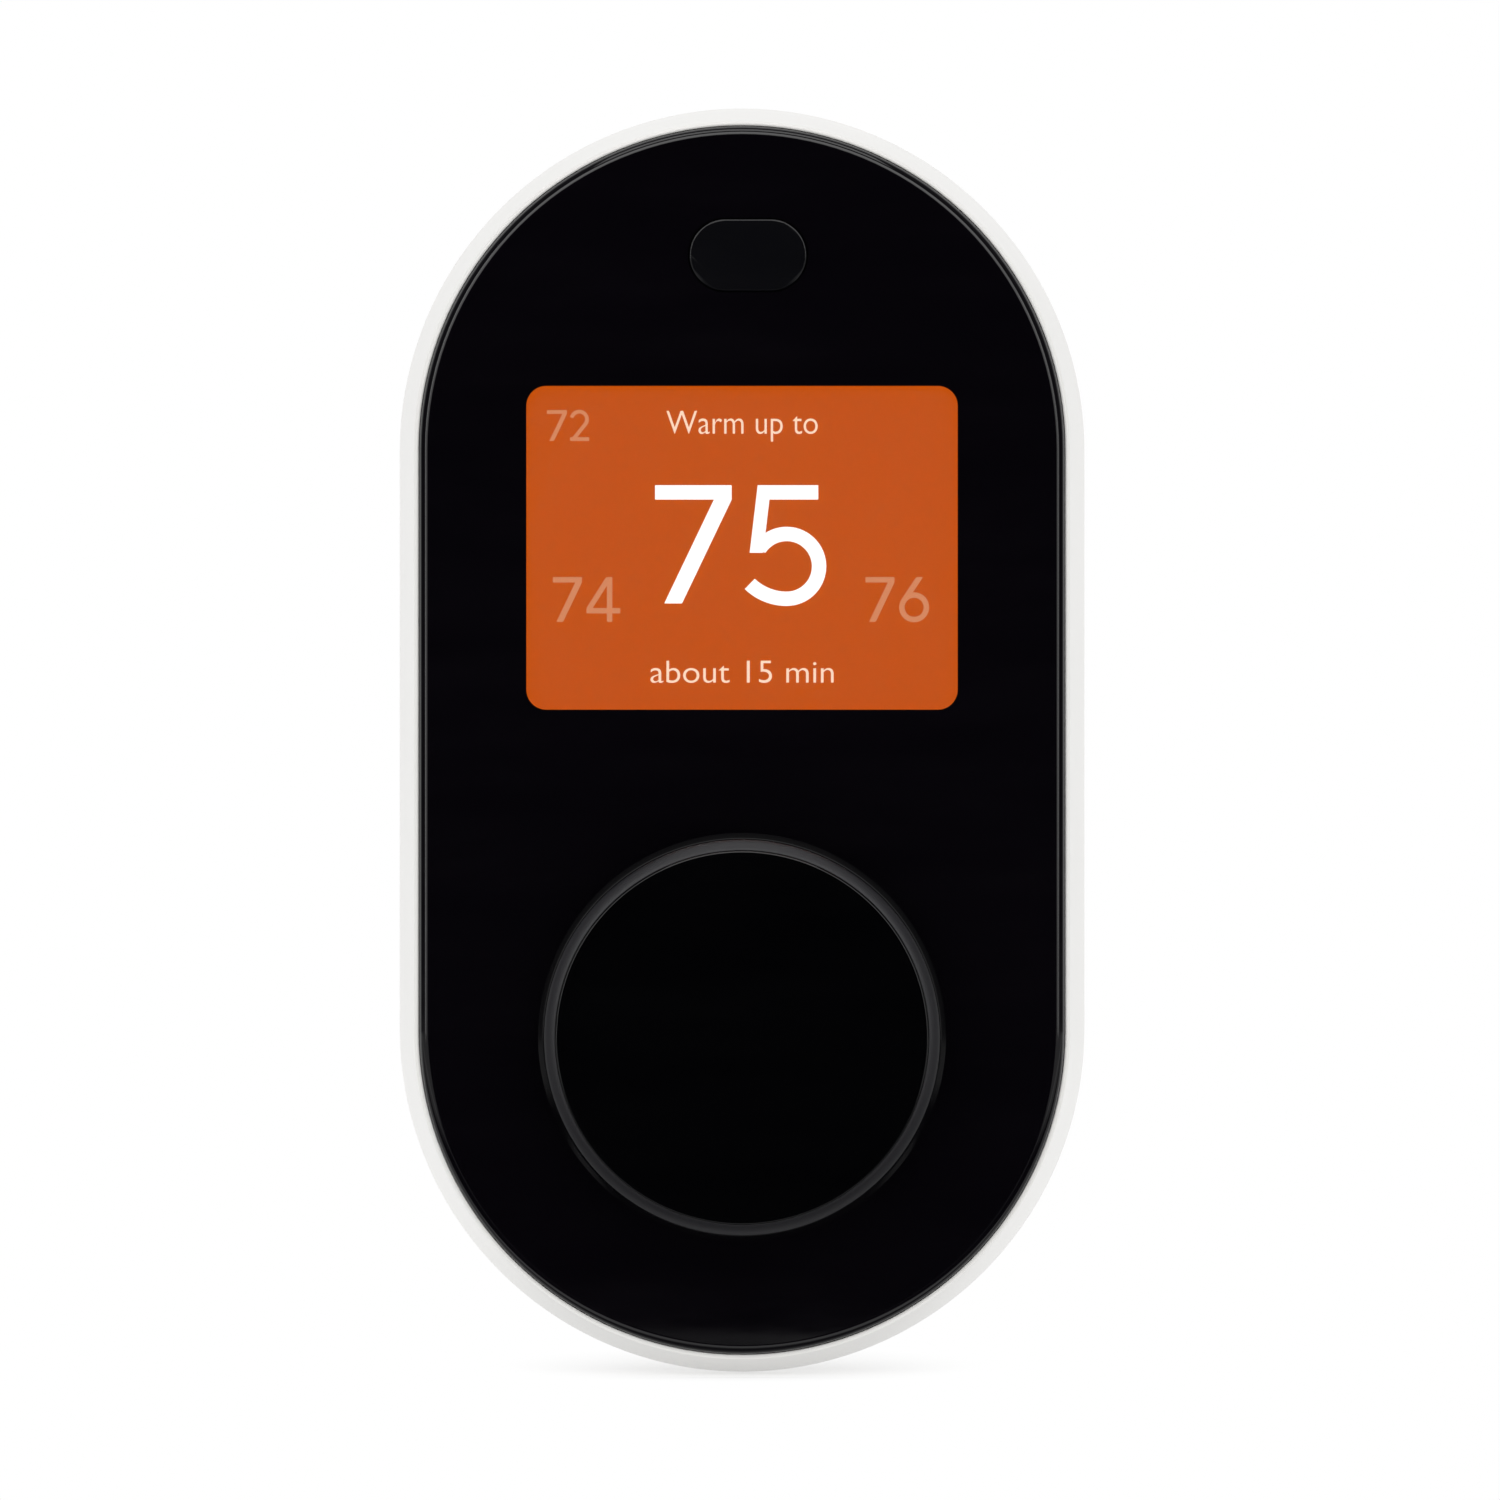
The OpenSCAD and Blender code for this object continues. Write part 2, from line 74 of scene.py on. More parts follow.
wall_y = cad_high.y
camera = bpy.data.objects.new("camera", bpy.data.cameras.new("camera"))
scene.collection.objects.link(camera)
camera.location = (VIEW_SHIFT_X, wall_y - CAMERA_FAR, VIEW_SHIFT_Z)
camera.rotation_euler = (math.radians(90), 0, 0)
camera.data.lens = camera.data.sensor_width * CAMERA_FAR / VIEW_WIDTH
camera.data.clip_end = 50
scene.camera = camera


# Studio
# A pale sheet of paper as the floor, a soft tent of light all round, and three softboxes whose
# edges draw bright lines in the glossy parts. In reflections the paper shows a painted reflection
# of its own, dark in front of the body with bright bands, which draws more of those lines.

MM = 0.001
FLOOR_SIZE = 6.0
FLOOR_GAP = 0.05 * MM
TOOTH_SIZE = 1.111 * MM                # the paper's fibres
CLEAR_NEAR, CLEAR_FAR = 0.006, 0.060   # the paper's shading fades to plain white over this distance
CLEAR_AT_FOOT = 0.15                   # how far it has faded right under the body
CLEAR_SHAPE = (2.3, 0.55, 1.0)         # that distance counts more sideways and less front to back
CLEAR_SHIFT = (0, -0.026, 0)
# painted reflection: brightness of the paper as seen in reflections only, by depth in metres,
# dark in front of the body with bright bands
PAPER_STOPS = [(-0.270, 0.0), (-0.250, 0.35), (-0.190, 0.35), (-0.170, 0.02), (-0.040, 0.02),
               (-0.036, 0.9), (-0.031, 0.9), (-0.0295, 0.05), (-0.0275, 0.05), (-0.0250, 0.52),
               (0.005, 0.56), (0.080, 0.985)]
PAPER_FRONT, PAPER_BACK = -0.28, 0.09  # the depths between which those levels run
# painted reflection: in front, to each side of the dark stretch, the paper shows brighter in
# reflections only: how far out that starts and is full, how far forward, and how bright it is
SIDE_REFLECTION_FROM, SIDE_REFLECTION_FULL = 0.08, 0.13
SIDE_REFLECTION_BACK, SIDE_REFLECTION_FRONT = -0.06, -0.10
SIDE_REFLECTION_LEVEL = 0.42


def linear(hex_colour):
    """An sRGB hex colour as linear RGBA."""
    parts = [int(hex_colour[i:i + 2], 16) / 255 for i in (1, 3, 5)]
    return [p / 12.92 if p <= 0.04045 else ((p + 0.055) / 1.055) ** 2.4 for p in parts] + [1.0]


def add(tree, kind, settings=None, links=None):
    """Adds a node; settings are socket or property values, or a ramp's (position, level) stops;
    links give (node, output) by socket."""
    new = tree.nodes.new("ShaderNode" + kind)
    for name, value in (settings or {}).items():
        if name == "stops":
            marks = new.color_ramp.elements
            while len(marks) < len(value):
                marks.new(0.5)
            for mark, (position, level) in zip(marks, value):
                mark.position = position
                mark.color = (level, level, level, 1)
        elif isinstance(name, int) or name in new.inputs:
            new.inputs[name].default_value = value
        else:
            setattr(new, name, value)
    for name, (source, output) in (links or {}).items():
        tree.links.new(source.outputs[output], new.inputs[name])
    return new


def link_object(name, data):
    """Puts a mesh, a lamp or a text in the scene."""
    placed = bpy.data.objects.new(name, data)
    scene.collection.objects.link(placed)
    return placed


paper = bpy.data.materials.new("paper_floor")
paper.use_nodes = True
tree = paper.node_tree
tree.nodes.clear()
place = add(tree, "TexCoord")
pulp = add(tree, "TexNoise", {"Scale": 1 / TOOTH_SIZE, "Detail": 3.0},
           {"Vector": (place, "Object")})
tooth = add(tree, "Bump", {"Strength": 0.05, "Distance": 0.1 * MM}, {"Height": (pulp, "Fac")})
matte = add(tree, "BsdfDiffuse", {"Color": linear("#F8F8F8")}, {"Normal": (tooth, "Normal")})
glow = add(tree, "Emission", {"Color": (1, 1, 1, 1), "Strength": 1.0})
narrow = add(tree, "VectorMath", {"operation": "MULTIPLY_ADD", 1: CLEAR_SHAPE, 2: CLEAR_SHIFT},
             {0: (place, "Object")})
reach = add(tree, "VectorMath", {"operation": "LENGTH"}, {0: (narrow, "Vector")})
fade = add(tree, "MapRange", {"interpolation_type": "SMOOTHSTEP", "From Min": CLEAR_NEAR,
                              "From Max": CLEAR_FAR, "To Min": CLEAR_AT_FOOT},
           {"Value": (reach, "Value")})
seen = add(tree, "MixShader", {}, {0: (fade, "Result"), 1: (matte, "BSDF"), 2: (glow, "Emission")})
# painted reflection: in reflections the paper shows levels painted by depth and to the sides, not
# its lit shading
depth = add(tree, "SeparateXYZ", {}, {"Vector": (place, "Object")})
reflected_depth_share = add(tree, "MapRange", {"From Min": PAPER_FRONT, "From Max": PAPER_BACK},
              {"Value": (depth, "Y")})
painted_reflection_levels = add(tree, "ValToRGB", {"stops": [((y - PAPER_FRONT) / (PAPER_BACK - PAPER_FRONT), level)
                                         for y, level in PAPER_STOPS]},
            {"Fac": (reflected_depth_share, "Result")})
middle = add(tree, "Emission", {"Strength": 1.0}, {"Color": (painted_reflection_levels, "Color")})
aside = add(tree, "Math", {"operation": "ABSOLUTE"}, {0: (depth, "X")})
outer = add(tree, "MapRange", {"From Min": SIDE_REFLECTION_FROM, "From Max": SIDE_REFLECTION_FULL,
                               "To Max": SIDE_REFLECTION_LEVEL}, {"Value": (aside, 0)})
ahead = add(tree, "MapRange", {"From Min": SIDE_REFLECTION_BACK, "From Max": SIDE_REFLECTION_FRONT},
            {"Value": (depth, "Y")})
side_reflection_mask = add(tree, "Math", {"operation": "MULTIPLY"}, {0: (outer, 0), 1: (ahead, 0)})
painted_side_reflection = add(tree, "Emission", {"Color": (1, 1, 1, 1)}, {"Strength": (side_reflection_mask, 0)})
mirrored = add(tree, "AddShader", {}, {0: (middle, 0), 1: (painted_side_reflection, 0)})
ray = add(tree, "LightPath")
mixed = add(tree, "MixShader", {}, {0: (ray, "Is Glossy Ray"), 1: (seen, 0), 2: (mirrored, 0)})
add(tree, "OutputMaterial", {}, {"Surface": (mixed, "Shader")})

bm = bmesh.new()
bmesh.ops.create_grid(bm, x_segments=24, y_segments=24, size=FLOOR_SIZE / 2)
mesh = bpy.data.meshes.new("floor")
bm.to_mesh(mesh)
bm.free()
floor = link_object("floor", mesh)
floor.location = (0, 0, cad_low.z - FLOOR_GAP)
mesh.materials.append(paper)

world = bpy.data.worlds.new("light_tent")
scene.world = world
world.use_nodes = True
tree = world.node_tree
tree.nodes.clear()
way = add(tree, "TexCoord")
toward = add(tree, "VectorMath", {"operation": "DOT_PRODUCT", 1: (0, -1, 0)},
             {0: (way, "Generated")})
height = add(tree, "SeparateXYZ", {}, {"Vector": (way, "Generated")})
# brightness in reflections, by the cosine of the angle from the camera's side of the room
TENT_STOPS = [(-1.0, 0.95), (-0.35, 0.91), (-0.12, 0.10), (0.68, 0.06), (0.78, 2.2),
              (0.955, 2.2), (0.985, 0.03), (1.0, 0.0)]
# the front of the tent is brighter overhead: these heights, as the sine of the angle, and levels
TENT_LOW, TENT_HIGH = -0.35, 0.50
LOW_LEVEL, HIGH_LEVEL = 0.08, 1.3
TENT_POWER = 0.80
cosine = add(tree, "MapRange", {"From Min": -1.0, "From Max": 1.0}, {"Value": (toward, "Value")})
walls = add(tree, "ValToRGB", {"stops": [((angle + 1) / 2, level) for angle, level in TENT_STOPS]},
            {"Fac": (cosine, "Result")})
upper = add(tree, "MapRange", {"From Min": TENT_LOW, "From Max": TENT_HIGH, "To Min": LOW_LEVEL,
                               "To Max": HIGH_LEVEL}, {"Value": (height, "Z")})
front = add(tree, "MapRange", {"From Min": -0.1, "From Max": 0.1}, {"Value": (toward, "Value")})
level = add(tree, "Mix", {"data_type": "FLOAT", 2: 1.0},
            {0: (front, "Result"), 3: (upper, "Result")})
tent = add(tree, "Background", {"Color": linear("#FFFFFF"), "Strength": TENT_POWER})
mirrored = add(tree, "Background", {}, {"Color": (walls, "Color"), "Strength": (level, 0)})
white = add(tree, "Background", {"Color": linear("#FFFFFF"), "Strength": 1.0})
ray = add(tree, "LightPath")
lit = add(tree, "MixShader", {}, {0: (ray, "Is Glossy Ray"), 1: (tent, 0), 2: (mirrored, 0)})
seen = add(tree, "MixShader", {}, {0: (ray, "Is Camera Ray"), 1: (lit, 0), 2: (white, 0)})
add(tree, "OutputWorld", {}, {"Surface": (seen, 0)})

# name, place, size across and down, power in watts
SOFTBOXES = [
    ("softbox_top", (0.0, -0.35, 0.95), (0.9, 0.4), 2.3),
    ("softbox_left", (-1.00, -1.35, 0.10), (0.06, 1.5), 1.4),
    ("softbox_right", (1.00, -1.55, -0.05), (0.05, 1.3), 0.8),
]
for name, spot, (across, down), power in SOFTBOXES:
    lamp = bpy.data.lights.new(name, "AREA")
    lamp.shape = "RECTANGLE"
    lamp.size, lamp.size_y = across, down
    lamp.energy = power
    holder = link_object(name, lamp)
    holder.location = spot
    holder.rotation_euler = (-Vector(spot)).to_track_quat("-Z", "Y").to_euler()

scene.view_settings.view_transform = "Standard"


# Wall plate
# The base that is screwed to the wall: white ABS, moulded with a fine spark-eroded grain.
# The grain scatters light, so it looks soft and dry next to the satin shell.

MOTTLE_SIZE = 14 * MM     # the pigment clouds over about this distance
CORNER_ANGLE = math.radians(40)   # edges sharper than this are rounded over
SHARP_ANGLE = math.radians(32)    # edges sharper than this keep a crisp line


def principled(name, settings):
    """A material with one Principled shader; gives the material, its tree, the shader and the
    coordinates."""
    material = bpy.data.materials.new(name)
    material.use_nodes = True
    tree = material.node_tree
    tree.nodes.clear()
    shader = add(tree, "BsdfPrincipled", settings)
    add(tree, "OutputMaterial", {}, {"Surface": (shader, "BSDF")})
    return material, tree, shader, add(tree, "TexCoord")


def moulded_plastic(name, colour, second, roughness, grain, depth, settings=None, swing=0.05):
    """Moulded plastic: pigment that clouds a little, gloss that is uneven by swing, and the
    mould's own grain, so wide and so deep."""
    material, tree, shader, place = principled(name, {"IOR": 1.53, **(settings or {})})
    cloud = add(tree, "TexNoise", {"Scale": 1 / MOTTLE_SIZE, "Detail": 3.0, "Roughness": 0.55},
                {"Vector": (place, "Object")})
    tint = add(tree, "Mix", {"data_type": "RGBA", 6: linear(colour), 7: linear(second)},
               {0: (cloud, "Fac")})
    gloss = add(tree, "MapRange", {"From Min": 0.3, "From Max": 0.7, "To Min": roughness - swing,
                                   "To Max": roughness + swing}, {"Value": (cloud, "Fac")})
    pits = add(tree, "TexNoise", {"Scale": 1 / grain, "Detail": 2.0}, {"Vector": (place, "Object")})
    skin = add(tree, "Bump", {"Strength": 0.6, "Distance": depth}, {"Height": (pits, "Fac")})
    tree.links.new(tint.outputs[2], shader.inputs["Base Color"])
    tree.links.new(gloss.outputs["Result"], shader.inputs["Roughness"])
    tree.links.new(skin.outputs["Normal"], shader.inputs["Normal"])
    return material


def softened(node, body, material, width, segments=2, suffix="_moulded"):
    """A copy of a CAD node whose sharp edges are rounded over by width."""
    bm = bmesh.new()
    bm.from_mesh(nodes[node].data)
    bmesh.ops.remove_doubles(bm, verts=bm.verts, dist=1e-6)
    bmesh.ops.dissolve_limit(bm, angle_limit=math.radians(0.5), verts=bm.verts, edges=bm.edges)
    corners = [e for e in bm.edges
               if len(e.link_faces) == 2 and e.calc_face_angle() > CORNER_ANGLE]
    bmesh.ops.bevel(bm, geom=corners, offset=width, segments=segments, profile=0.5,
                    affect="EDGES", clamp_overlap=True, material=-1)
    bmesh.ops.triangulate(bm, faces=[f for f in bm.faces if len(f.verts) > 4])
    return finish_piece(node + suffix, bm, material, body, [node])


def finish_piece(name, bm, material, body, replaced=()):
    """Turns a bmesh into a smooth-shaded piece that rides on its body."""
    mesh = bpy.data.meshes.new(name)
    bm.to_mesh(mesh)
    bm.free()
    mesh.shade_smooth()
    mesh.set_sharp_from_angle(angle=SHARP_ANGLE)
    mesh.materials.append(material)
    piece = link_object(name, mesh)
    weights = piece.modifiers.new("weighted_normals", "WEIGHTED_NORMAL")
    weights.keep_sharp = True
    weights.weight = 80
    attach(piece, body)
    if replaced:
        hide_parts(*replaced)
    return piece


def paint(material, *names):
    """Gives CAD nodes whose shape is right their real material."""
    for name in names:
        nodes[name].material_slots[0].material = material


base_abs = moulded_plastic("moulded_abs_base", "#E6E4DF", "#DEDCD7", 0.55, 0.32 * MM, 0.02 * MM)
softened("wall_plate", "wall_base", base_abs, 0.18 * MM)


# Base board and its screws
# A glass-fibre circuit board under green solder mask, with copper tracks that stand up a little
# through the lacquer. Four nickel-plated screws hold it to the wall plate's posts.

TRACK_AREA = 4.6 * MM     # the tracks run round areas about this wide
PAD_PITCH = 2.6 * MM
TRACK_HEIGHT, PAD_HEIGHT = 0.035 * MM, 0.05 * MM


def solder_mask(name, mask, track, tin):
    """Green lacquer over copper tracks, which show paler and raised, with small tinned pads."""
    material, tree, shader, place = principled(name, {"IOR": 1.55})
    near = add(tree, "TexVoronoi", {"feature": "F1", "distance": "MANHATTAN",
                                    "Scale": 1 / TRACK_AREA}, {"Vector": (place, "Object")})
    next_near = add(tree, "TexVoronoi", {"feature": "F2", "distance": "MANHATTAN",
                                         "Scale": 1 / TRACK_AREA}, {"Vector": (place, "Object")})
    gap = add(tree, "Math", {"operation": "SUBTRACT"},
              {0: (next_near, "Distance"), 1: (near, "Distance")})
    line = add(tree, "MapRange", {"From Min": 0.10, "From Max": 0.14, "To Min": 1.0,
                                  "To Max": 0.0}, {"Value": (gap, 0)})
    dots = add(tree, "TexVoronoi", {"Scale": 1 / PAD_PITCH, "Randomness": 0.6},
               {"Vector": (place, "Object")})
    pad = add(tree, "MapRange", {"From Min": 0.13, "From Max": 0.17, "To Min": 1.0,
                                 "To Max": 0.0}, {"Value": (dots, "Distance")})
    green = add(tree, "Mix", {"data_type": "RGBA", 6: linear(mask), 7: linear(track)},
                {0: (line, "Result")})
    tint = add(tree, "Mix", {"data_type": "RGBA", 7: linear(tin)},
               {0: (pad, "Result"), 6: (green, 2)})
    gloss = add(tree, "MapRange", {"To Min": 0.36, "To Max": 0.24}, {"Value": (pad, "Result")})
    relief = add(tree, "Bump", {"Strength": 0.5, "Distance": TRACK_HEIGHT},
                 {"Height": (line, "Result")})
    bead = add(tree, "Bump", {"Strength": 0.6, "Distance": PAD_HEIGHT},
               {"Height": (pad, "Result"), "Normal": (relief, "Normal")})
    tree.links.new(tint.outputs[2], shader.inputs["Base Color"])
    tree.links.new(pad.outputs["Result"], shader.inputs["Metallic"])
    tree.links.new(gloss.outputs["Result"], shader.inputs["Roughness"])
    tree.links.new(bead.outputs["Normal"], shader.inputs["Normal"])
    return material


def worked_metal(name, colour, roughness, line, stretch=(1, 1, 1), depth=0.004 * MM):
    """Bare or plated metal; stretch draws the tool marks out along one direction."""
    material, tree, shader, place = principled(name, {"Metallic": 1.0})
    turn = add(tree, "Mapping", {"Scale": stretch}, {"Vector": (place, "Object")})
    marks = add(tree, "TexNoise", {"Scale": 1 / line, "Detail": 4.0, "Roughness": 0.6},
                {"Vector": (turn, "Vector")})
    shade = add(tree, "MapRange", {"From Min": 0.3, "From Max": 0.7, "To Min": roughness - 0.07,
                                   "To Max": roughness + 0.1}, {"Value": (marks, "Fac")})
    tint = add(tree, "Mix", {"data_type": "RGBA", 6: linear(colour[0]), 7: linear(colour[1])},
               {0: (marks, "Fac")})
    skin = add(tree, "Bump", {"Strength": 0.4, "Distance": depth}, {"Height": (marks, "Fac")})
    tree.links.new(tint.outputs[2], shader.inputs["Base Color"])
    tree.links.new(shade.outputs["Result"], shader.inputs["Roughness"])
    tree.links.new(skin.outputs["Normal"], shader.inputs["Normal"])
    return material


green_board = solder_mask("fibreglass_board", "#0F4A2A", "#1E6B40", "#C9C8C2")
nickel = worked_metal("nickel_plated_steel", ("#C9C8C4", "#B4B3B0"), 0.24, 0.5 * MM)
softened("base_board", "wall_base", green_board, 0.08 * MM, 1)
paint(nickel, "base_board_screws")


# Terminal blocks, spring contacts and release tabs
# Two five-way push terminals in white nylon. Each way has a bent copper-alloy strip that grips
# the wire, and an orange nylon tab that is pushed in to let it go.

WAYS = 5

nylon_white = moulded_plastic("moulded_nylon_white", "#DEDCD4", "#D3D1C8", 0.42, 0.4 * MM,
                              0.012 * MM)
nylon_tab = moulded_plastic("moulded_nylon_orange", "#D4651C", "#C45A16", 0.36, 0.4 * MM,
                            0.010 * MM, {"Subsurface Weight": 0.06})
copper_alloy = worked_metal("gold_flashed_copper_alloy", ("#D9B566", "#C79F52"), 0.26, 0.4 * MM)
paint(copper_alloy, "spring_contacts")
for side in ("left", "right"):
    softened("terminal_block_" + side, "wall_base", nylon_white, 0.12 * MM)
    for way in range(1, WAYS + 1):
        tab = f"tab_{side}_{way}"
        softened(tab, tab, nylon_tab, 0.25 * MM, 3)


# Base sockets
# Two black eight-way socket strips that the display unit's pins plug into, each hole lined
# with a rolled gold-flashed sleeve.

nylon_black = moulded_plastic("moulded_nylon_black", "#161617", "#1E1E20", 0.5, 0.35 * MM,
                              0.012 * MM)
softened("base_sockets", "wall_base", nylon_black, 0.08 * MM, 1)
paint(copper_alloy, "socket_contacts")


# Bubble level
# A clear acrylic tube of tinted alcohol, held in the wall plate's two seats, for hanging the
# base straight. The bubble is a hollow in the fluid.

SCUFF_SIZE = 3 * MM
SWIRL_SIZE = 5 * MM

acrylic, tree, shader, place = principled("clear_acrylic_vial", {
    "Base Color": linear("#F4F8F6"), "IOR": 1.49, "Transmission Weight": 1.0})
scuff = add(tree, "TexNoise", {"Scale": 1 / SCUFF_SIZE, "Detail": 3.0},
            {"Vector": (place, "Object")})
haze = add(tree, "MapRange", {"To Min": 0.02, "To Max": 0.10}, {"Value": (scuff, "Fac")})
tree.links.new(haze.outputs["Result"], shader.inputs["Roughness"])
alcohol, tree, shader, place = principled("tinted_alcohol", {
    "Roughness": 0.02, "IOR": 1.36, "Transmission Weight": 0.55})
swirl = add(tree, "TexNoise", {"Scale": 1 / SWIRL_SIZE}, {"Vector": (place, "Object")})
tint = add(tree, "Mix", {"data_type": "RGBA", 6: linear("#DDF06A"), 7: linear("#CFE552")},
           {0: (swirl, "Fac")})
tree.links.new(tint.outputs[2], shader.inputs["Base Color"])
paint(acrylic, "level_vial")
paint(alcohol, "level_fluid")


# Housing
# The white shell, moulded in one piece in satin ABS: the wall flares a little towards its back
# edge for the mould's draft, and an inner web behind the lens carries everything else.

ARC_STEPS = 72
LIP_ROUND, LIP_SEAT_ROUND, BACK_ROUND = 0.30 * MM, 0.12 * MM, 0.45 * MM
LIP_WIDTH = 0.55 * MM
SEAM = 0.05 * MM
SHELL_WALL = 1.9 * MM
WEB = 1.6 * MM
LEDGE_BEHIND_LIP = 1.0 * MM
# the web's openings: width, height, corner radius
PANEL_OPENING = (48.2 * MM, 39.4 * MM, 0.4 * MM)
SENSOR_OPENING = (18 * MM, 13.4 * MM, 6.7 * MM)
BUSHING_OPENING = (7.6 * MM, 7.6 * MM, 3.8 * MM)
# posts that stand on the web, mirrored left and right: out from the middle, up, radius
COVER_BOSSES = [(16.5 * MM, 46.5 * MM, 2.8 * MM), (16.5 * MM, -46.5 * MM, 2.8 * MM)]
BOARD_POSTS = [(26.2 * MM, 30 * MM, 1.9 * MM), (22 * MM, -38 * MM, 1.9 * MM)]
CARRIER_POST_OUT, CARRIER_POST_UP, CARRIER_POST_R = 15 * MM, 21.9 * MM, 2 * MM
COVER_BOSS_BACK = -13.3 * MM

shell_low, shell_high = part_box("housing")
lens_low, lens_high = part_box("front_lens")
half_run = shell_high.z - shell_high.x          # from the middle to each end arc's centre
back_r = shell_high.x
lens_r = lens_high.x
lip_r = lens_r + LIP_WIDTH
lip_y, back_y = shell_low.y, shell_high.y
ledge_y = lip_y + LEDGE_BEHIND_LIP
web_y = ledge_y + WEB
flare = (back_r - lip_r) / (back_y - lip_y)


def wall_at(y):
    """The shell's outer distance from its centre line at depth y."""
    return lip_r + flare * (y - lip_y)


def sweep_round_body(bm, section, steps=ARC_STEPS):
    """Carries a section, as (distance, y) points, once round the body's long outline."""
    verts = [bm.verts.new((r, y, half_run)) for r, y in section]
    edges = [bm.edges.new(pair) for pair in zip(verts, verts[1:])]
    front = verts + edges
    for end in (1, -1):
        front = bmesh.ops.spin(bm, geom=front, cent=(0, 0, end * half_run), axis=(0, 1, 0),
                               angle=-math.pi, steps=steps)["geom_last"]
        run = bmesh.ops.extrude_edge_only(
            bm, edges=[g for g in front if isinstance(g, bmesh.types.BMEdge)])["geom"]
        front = [g for g in run if not isinstance(g, bmesh.types.BMFace)]
        bmesh.ops.translate(bm, vec=(0, 0, -end * 2 * half_run),
                            verts=[g for g in run if isinstance(g, bmesh.types.BMVert)])
    bmesh.ops.remove_doubles(bm, verts=bm.verts, dist=1e-7)


def off_centre_line(co):
    """How far a point is from the body's centre line, which runs between the arc centres."""
    return math.hypot(co.x, max(abs(co.z) - half_run, 0))


def ring_edges(bm, r, y, distance=off_centre_line):
    """The edges of the ring at distance r and depth y."""
    close = 2e-6
    return [e for e in bm.edges
            if all(abs(distance(v.co) - r) < close and abs(v.co.y - y) < close for v in e.verts)]


def round_over(bm, edges, width, segments=4):
    """Rounds edges over by width."""
    bmesh.ops.bevel(bm, geom=edges, offset=width, segments=segments, profile=0.5,
                    affect="EDGES", clamp_overlap=False, material=-1)


def rounded_outline(bm, width, height, corner, centre, y, steps=12):
    """The rim of a flat shape with round corners, as edges. The corners stay a hair under their
    radius, so that two of them never meet in one point."""
    upright = (Matrix.Translation((centre[0], y, centre[1])) @ Matrix.Rotation(math.pi / 2, 4, "X")
               @ Matrix.Diagonal((width, height, 1, 1)))
    made = bmesh.ops.create_grid(bm, x_segments=1, y_segments=1, size=0.5, matrix=upright)["verts"]
    before = set(bm.edges) - {e for v in made for e in v.link_edges}
    bmesh.ops.bevel(bm, geom=made, offset=corner * 0.9999, segments=steps, profile=0.5,
                    affect="VERTICES", clamp_overlap=False, material=-1)
    rim = [e for e in bm.edges if e not in before]
    bmesh.ops.delete(bm, geom=list({f for e in rim for f in e.link_faces}), context="FACES_ONLY")
    return rim


def run_back(bm, rim, depth):
    """Draws a rim straight back as a wall; gives the rim at its far end."""
    made = bmesh.ops.extrude_edge_only(bm, edges=rim)["geom"]
    bmesh.ops.translate(bm, vec=(0, depth, 0),
                        verts=[g for g in made if isinstance(g, bmesh.types.BMVert)])
    return [g for g in made if isinstance(g, bmesh.types.BMEdge)
            and all(abs(v.co.y - rim[0].verts[0].co.y - depth) < 1e-6 for v in g.verts)]


def fill_flat(bm, edges):
    """Closes an upright face between closed rims, leaving its openings free."""
    bmesh.ops.triangle_fill(bm, use_beauty=True, edges=edges, normal=(0, -1, 0))


def standing_post(bm, x, z, r, y0, y1, segments=32):
    """A round post along Y between two depths."""
    stand = Matrix.Translation((x, (y0 + y1) / 2, z)) @ Matrix.Rotation(math.pi / 2, 4, "X")
    bmesh.ops.create_cone(bm, cap_ends=True, segments=segments, radius1=r, radius2=r,
                          depth=abs(y1 - y0), matrix=stand)


def close_seams(bm):
    """Joins a shell's seams and turns its faces outwards."""
    bmesh.ops.remove_doubles(bm, verts=bm.verts, dist=1e-7)
    bmesh.ops.recalc_face_normals(bm, faces=bm.faces)


screen_low, screen_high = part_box("display_window")
screen_z = (screen_low.z + screen_high.z) / 2
pir_low, pir_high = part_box("pir_window")
pir_x, pir_z = (pir_low.x + pir_high.x) / 2, (pir_low.z + pir_high.z) / 2
knob_low, knob_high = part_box("knob_body")
knob_z = (knob_low.z + knob_high.z) / 2

bm = bmesh.new()
inner_web, inner_back = wall_at(web_y) - SHELL_WALL, back_r - SHELL_WALL
seat_r = lens_r + SEAM
sweep_round_body(bm, [(seat_r, ledge_y), (seat_r, lip_y), (lip_r, lip_y), (back_r, back_y),
                      (inner_back, back_y), (inner_web, web_y)])
round_over(bm, ring_edges(bm, lip_r, lip_y), LIP_ROUND)
round_over(bm, ring_edges(bm, seat_r, lip_y), LIP_SEAT_ROUND, 2)
round_over(bm, ring_edges(bm, back_r, back_y), BACK_ROUND)
web_openings = [
    rounded_outline(bm, *PANEL_OPENING, (0, screen_z), ledge_y, 4),
    rounded_outline(bm, *SENSOR_OPENING, (pir_x, pir_z), ledge_y),
    rounded_outline(bm, *BUSHING_OPENING, (0, knob_z), ledge_y),
]
web_rims = [run_back(bm, rim, WEB) for rim in web_openings]
fill_flat(bm, ring_edges(bm, seat_r, ledge_y) + [e for rim in web_openings for e in rim])
fill_flat(bm, ring_edges(bm, inner_web, web_y) + [e for rim in web_rims for e in rim])
board_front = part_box("main_board")[0].y
carrier_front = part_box("display_carrier")[0].y
carrier_posts = [(CARRIER_POST_OUT, screen_z + end * CARRIER_POST_UP, CARRIER_POST_R)
                 for end in (1, -1)]
for posts, post_back in [(COVER_BOSSES, COVER_BOSS_BACK), (BOARD_POSTS, board_front),
                         (carrier_posts, carrier_front)]:
    for out, up, r in posts:
        for side in (-1, 1):
            standing_post(bm, side * out, up, r, web_y, post_back)
close_seams(bm)
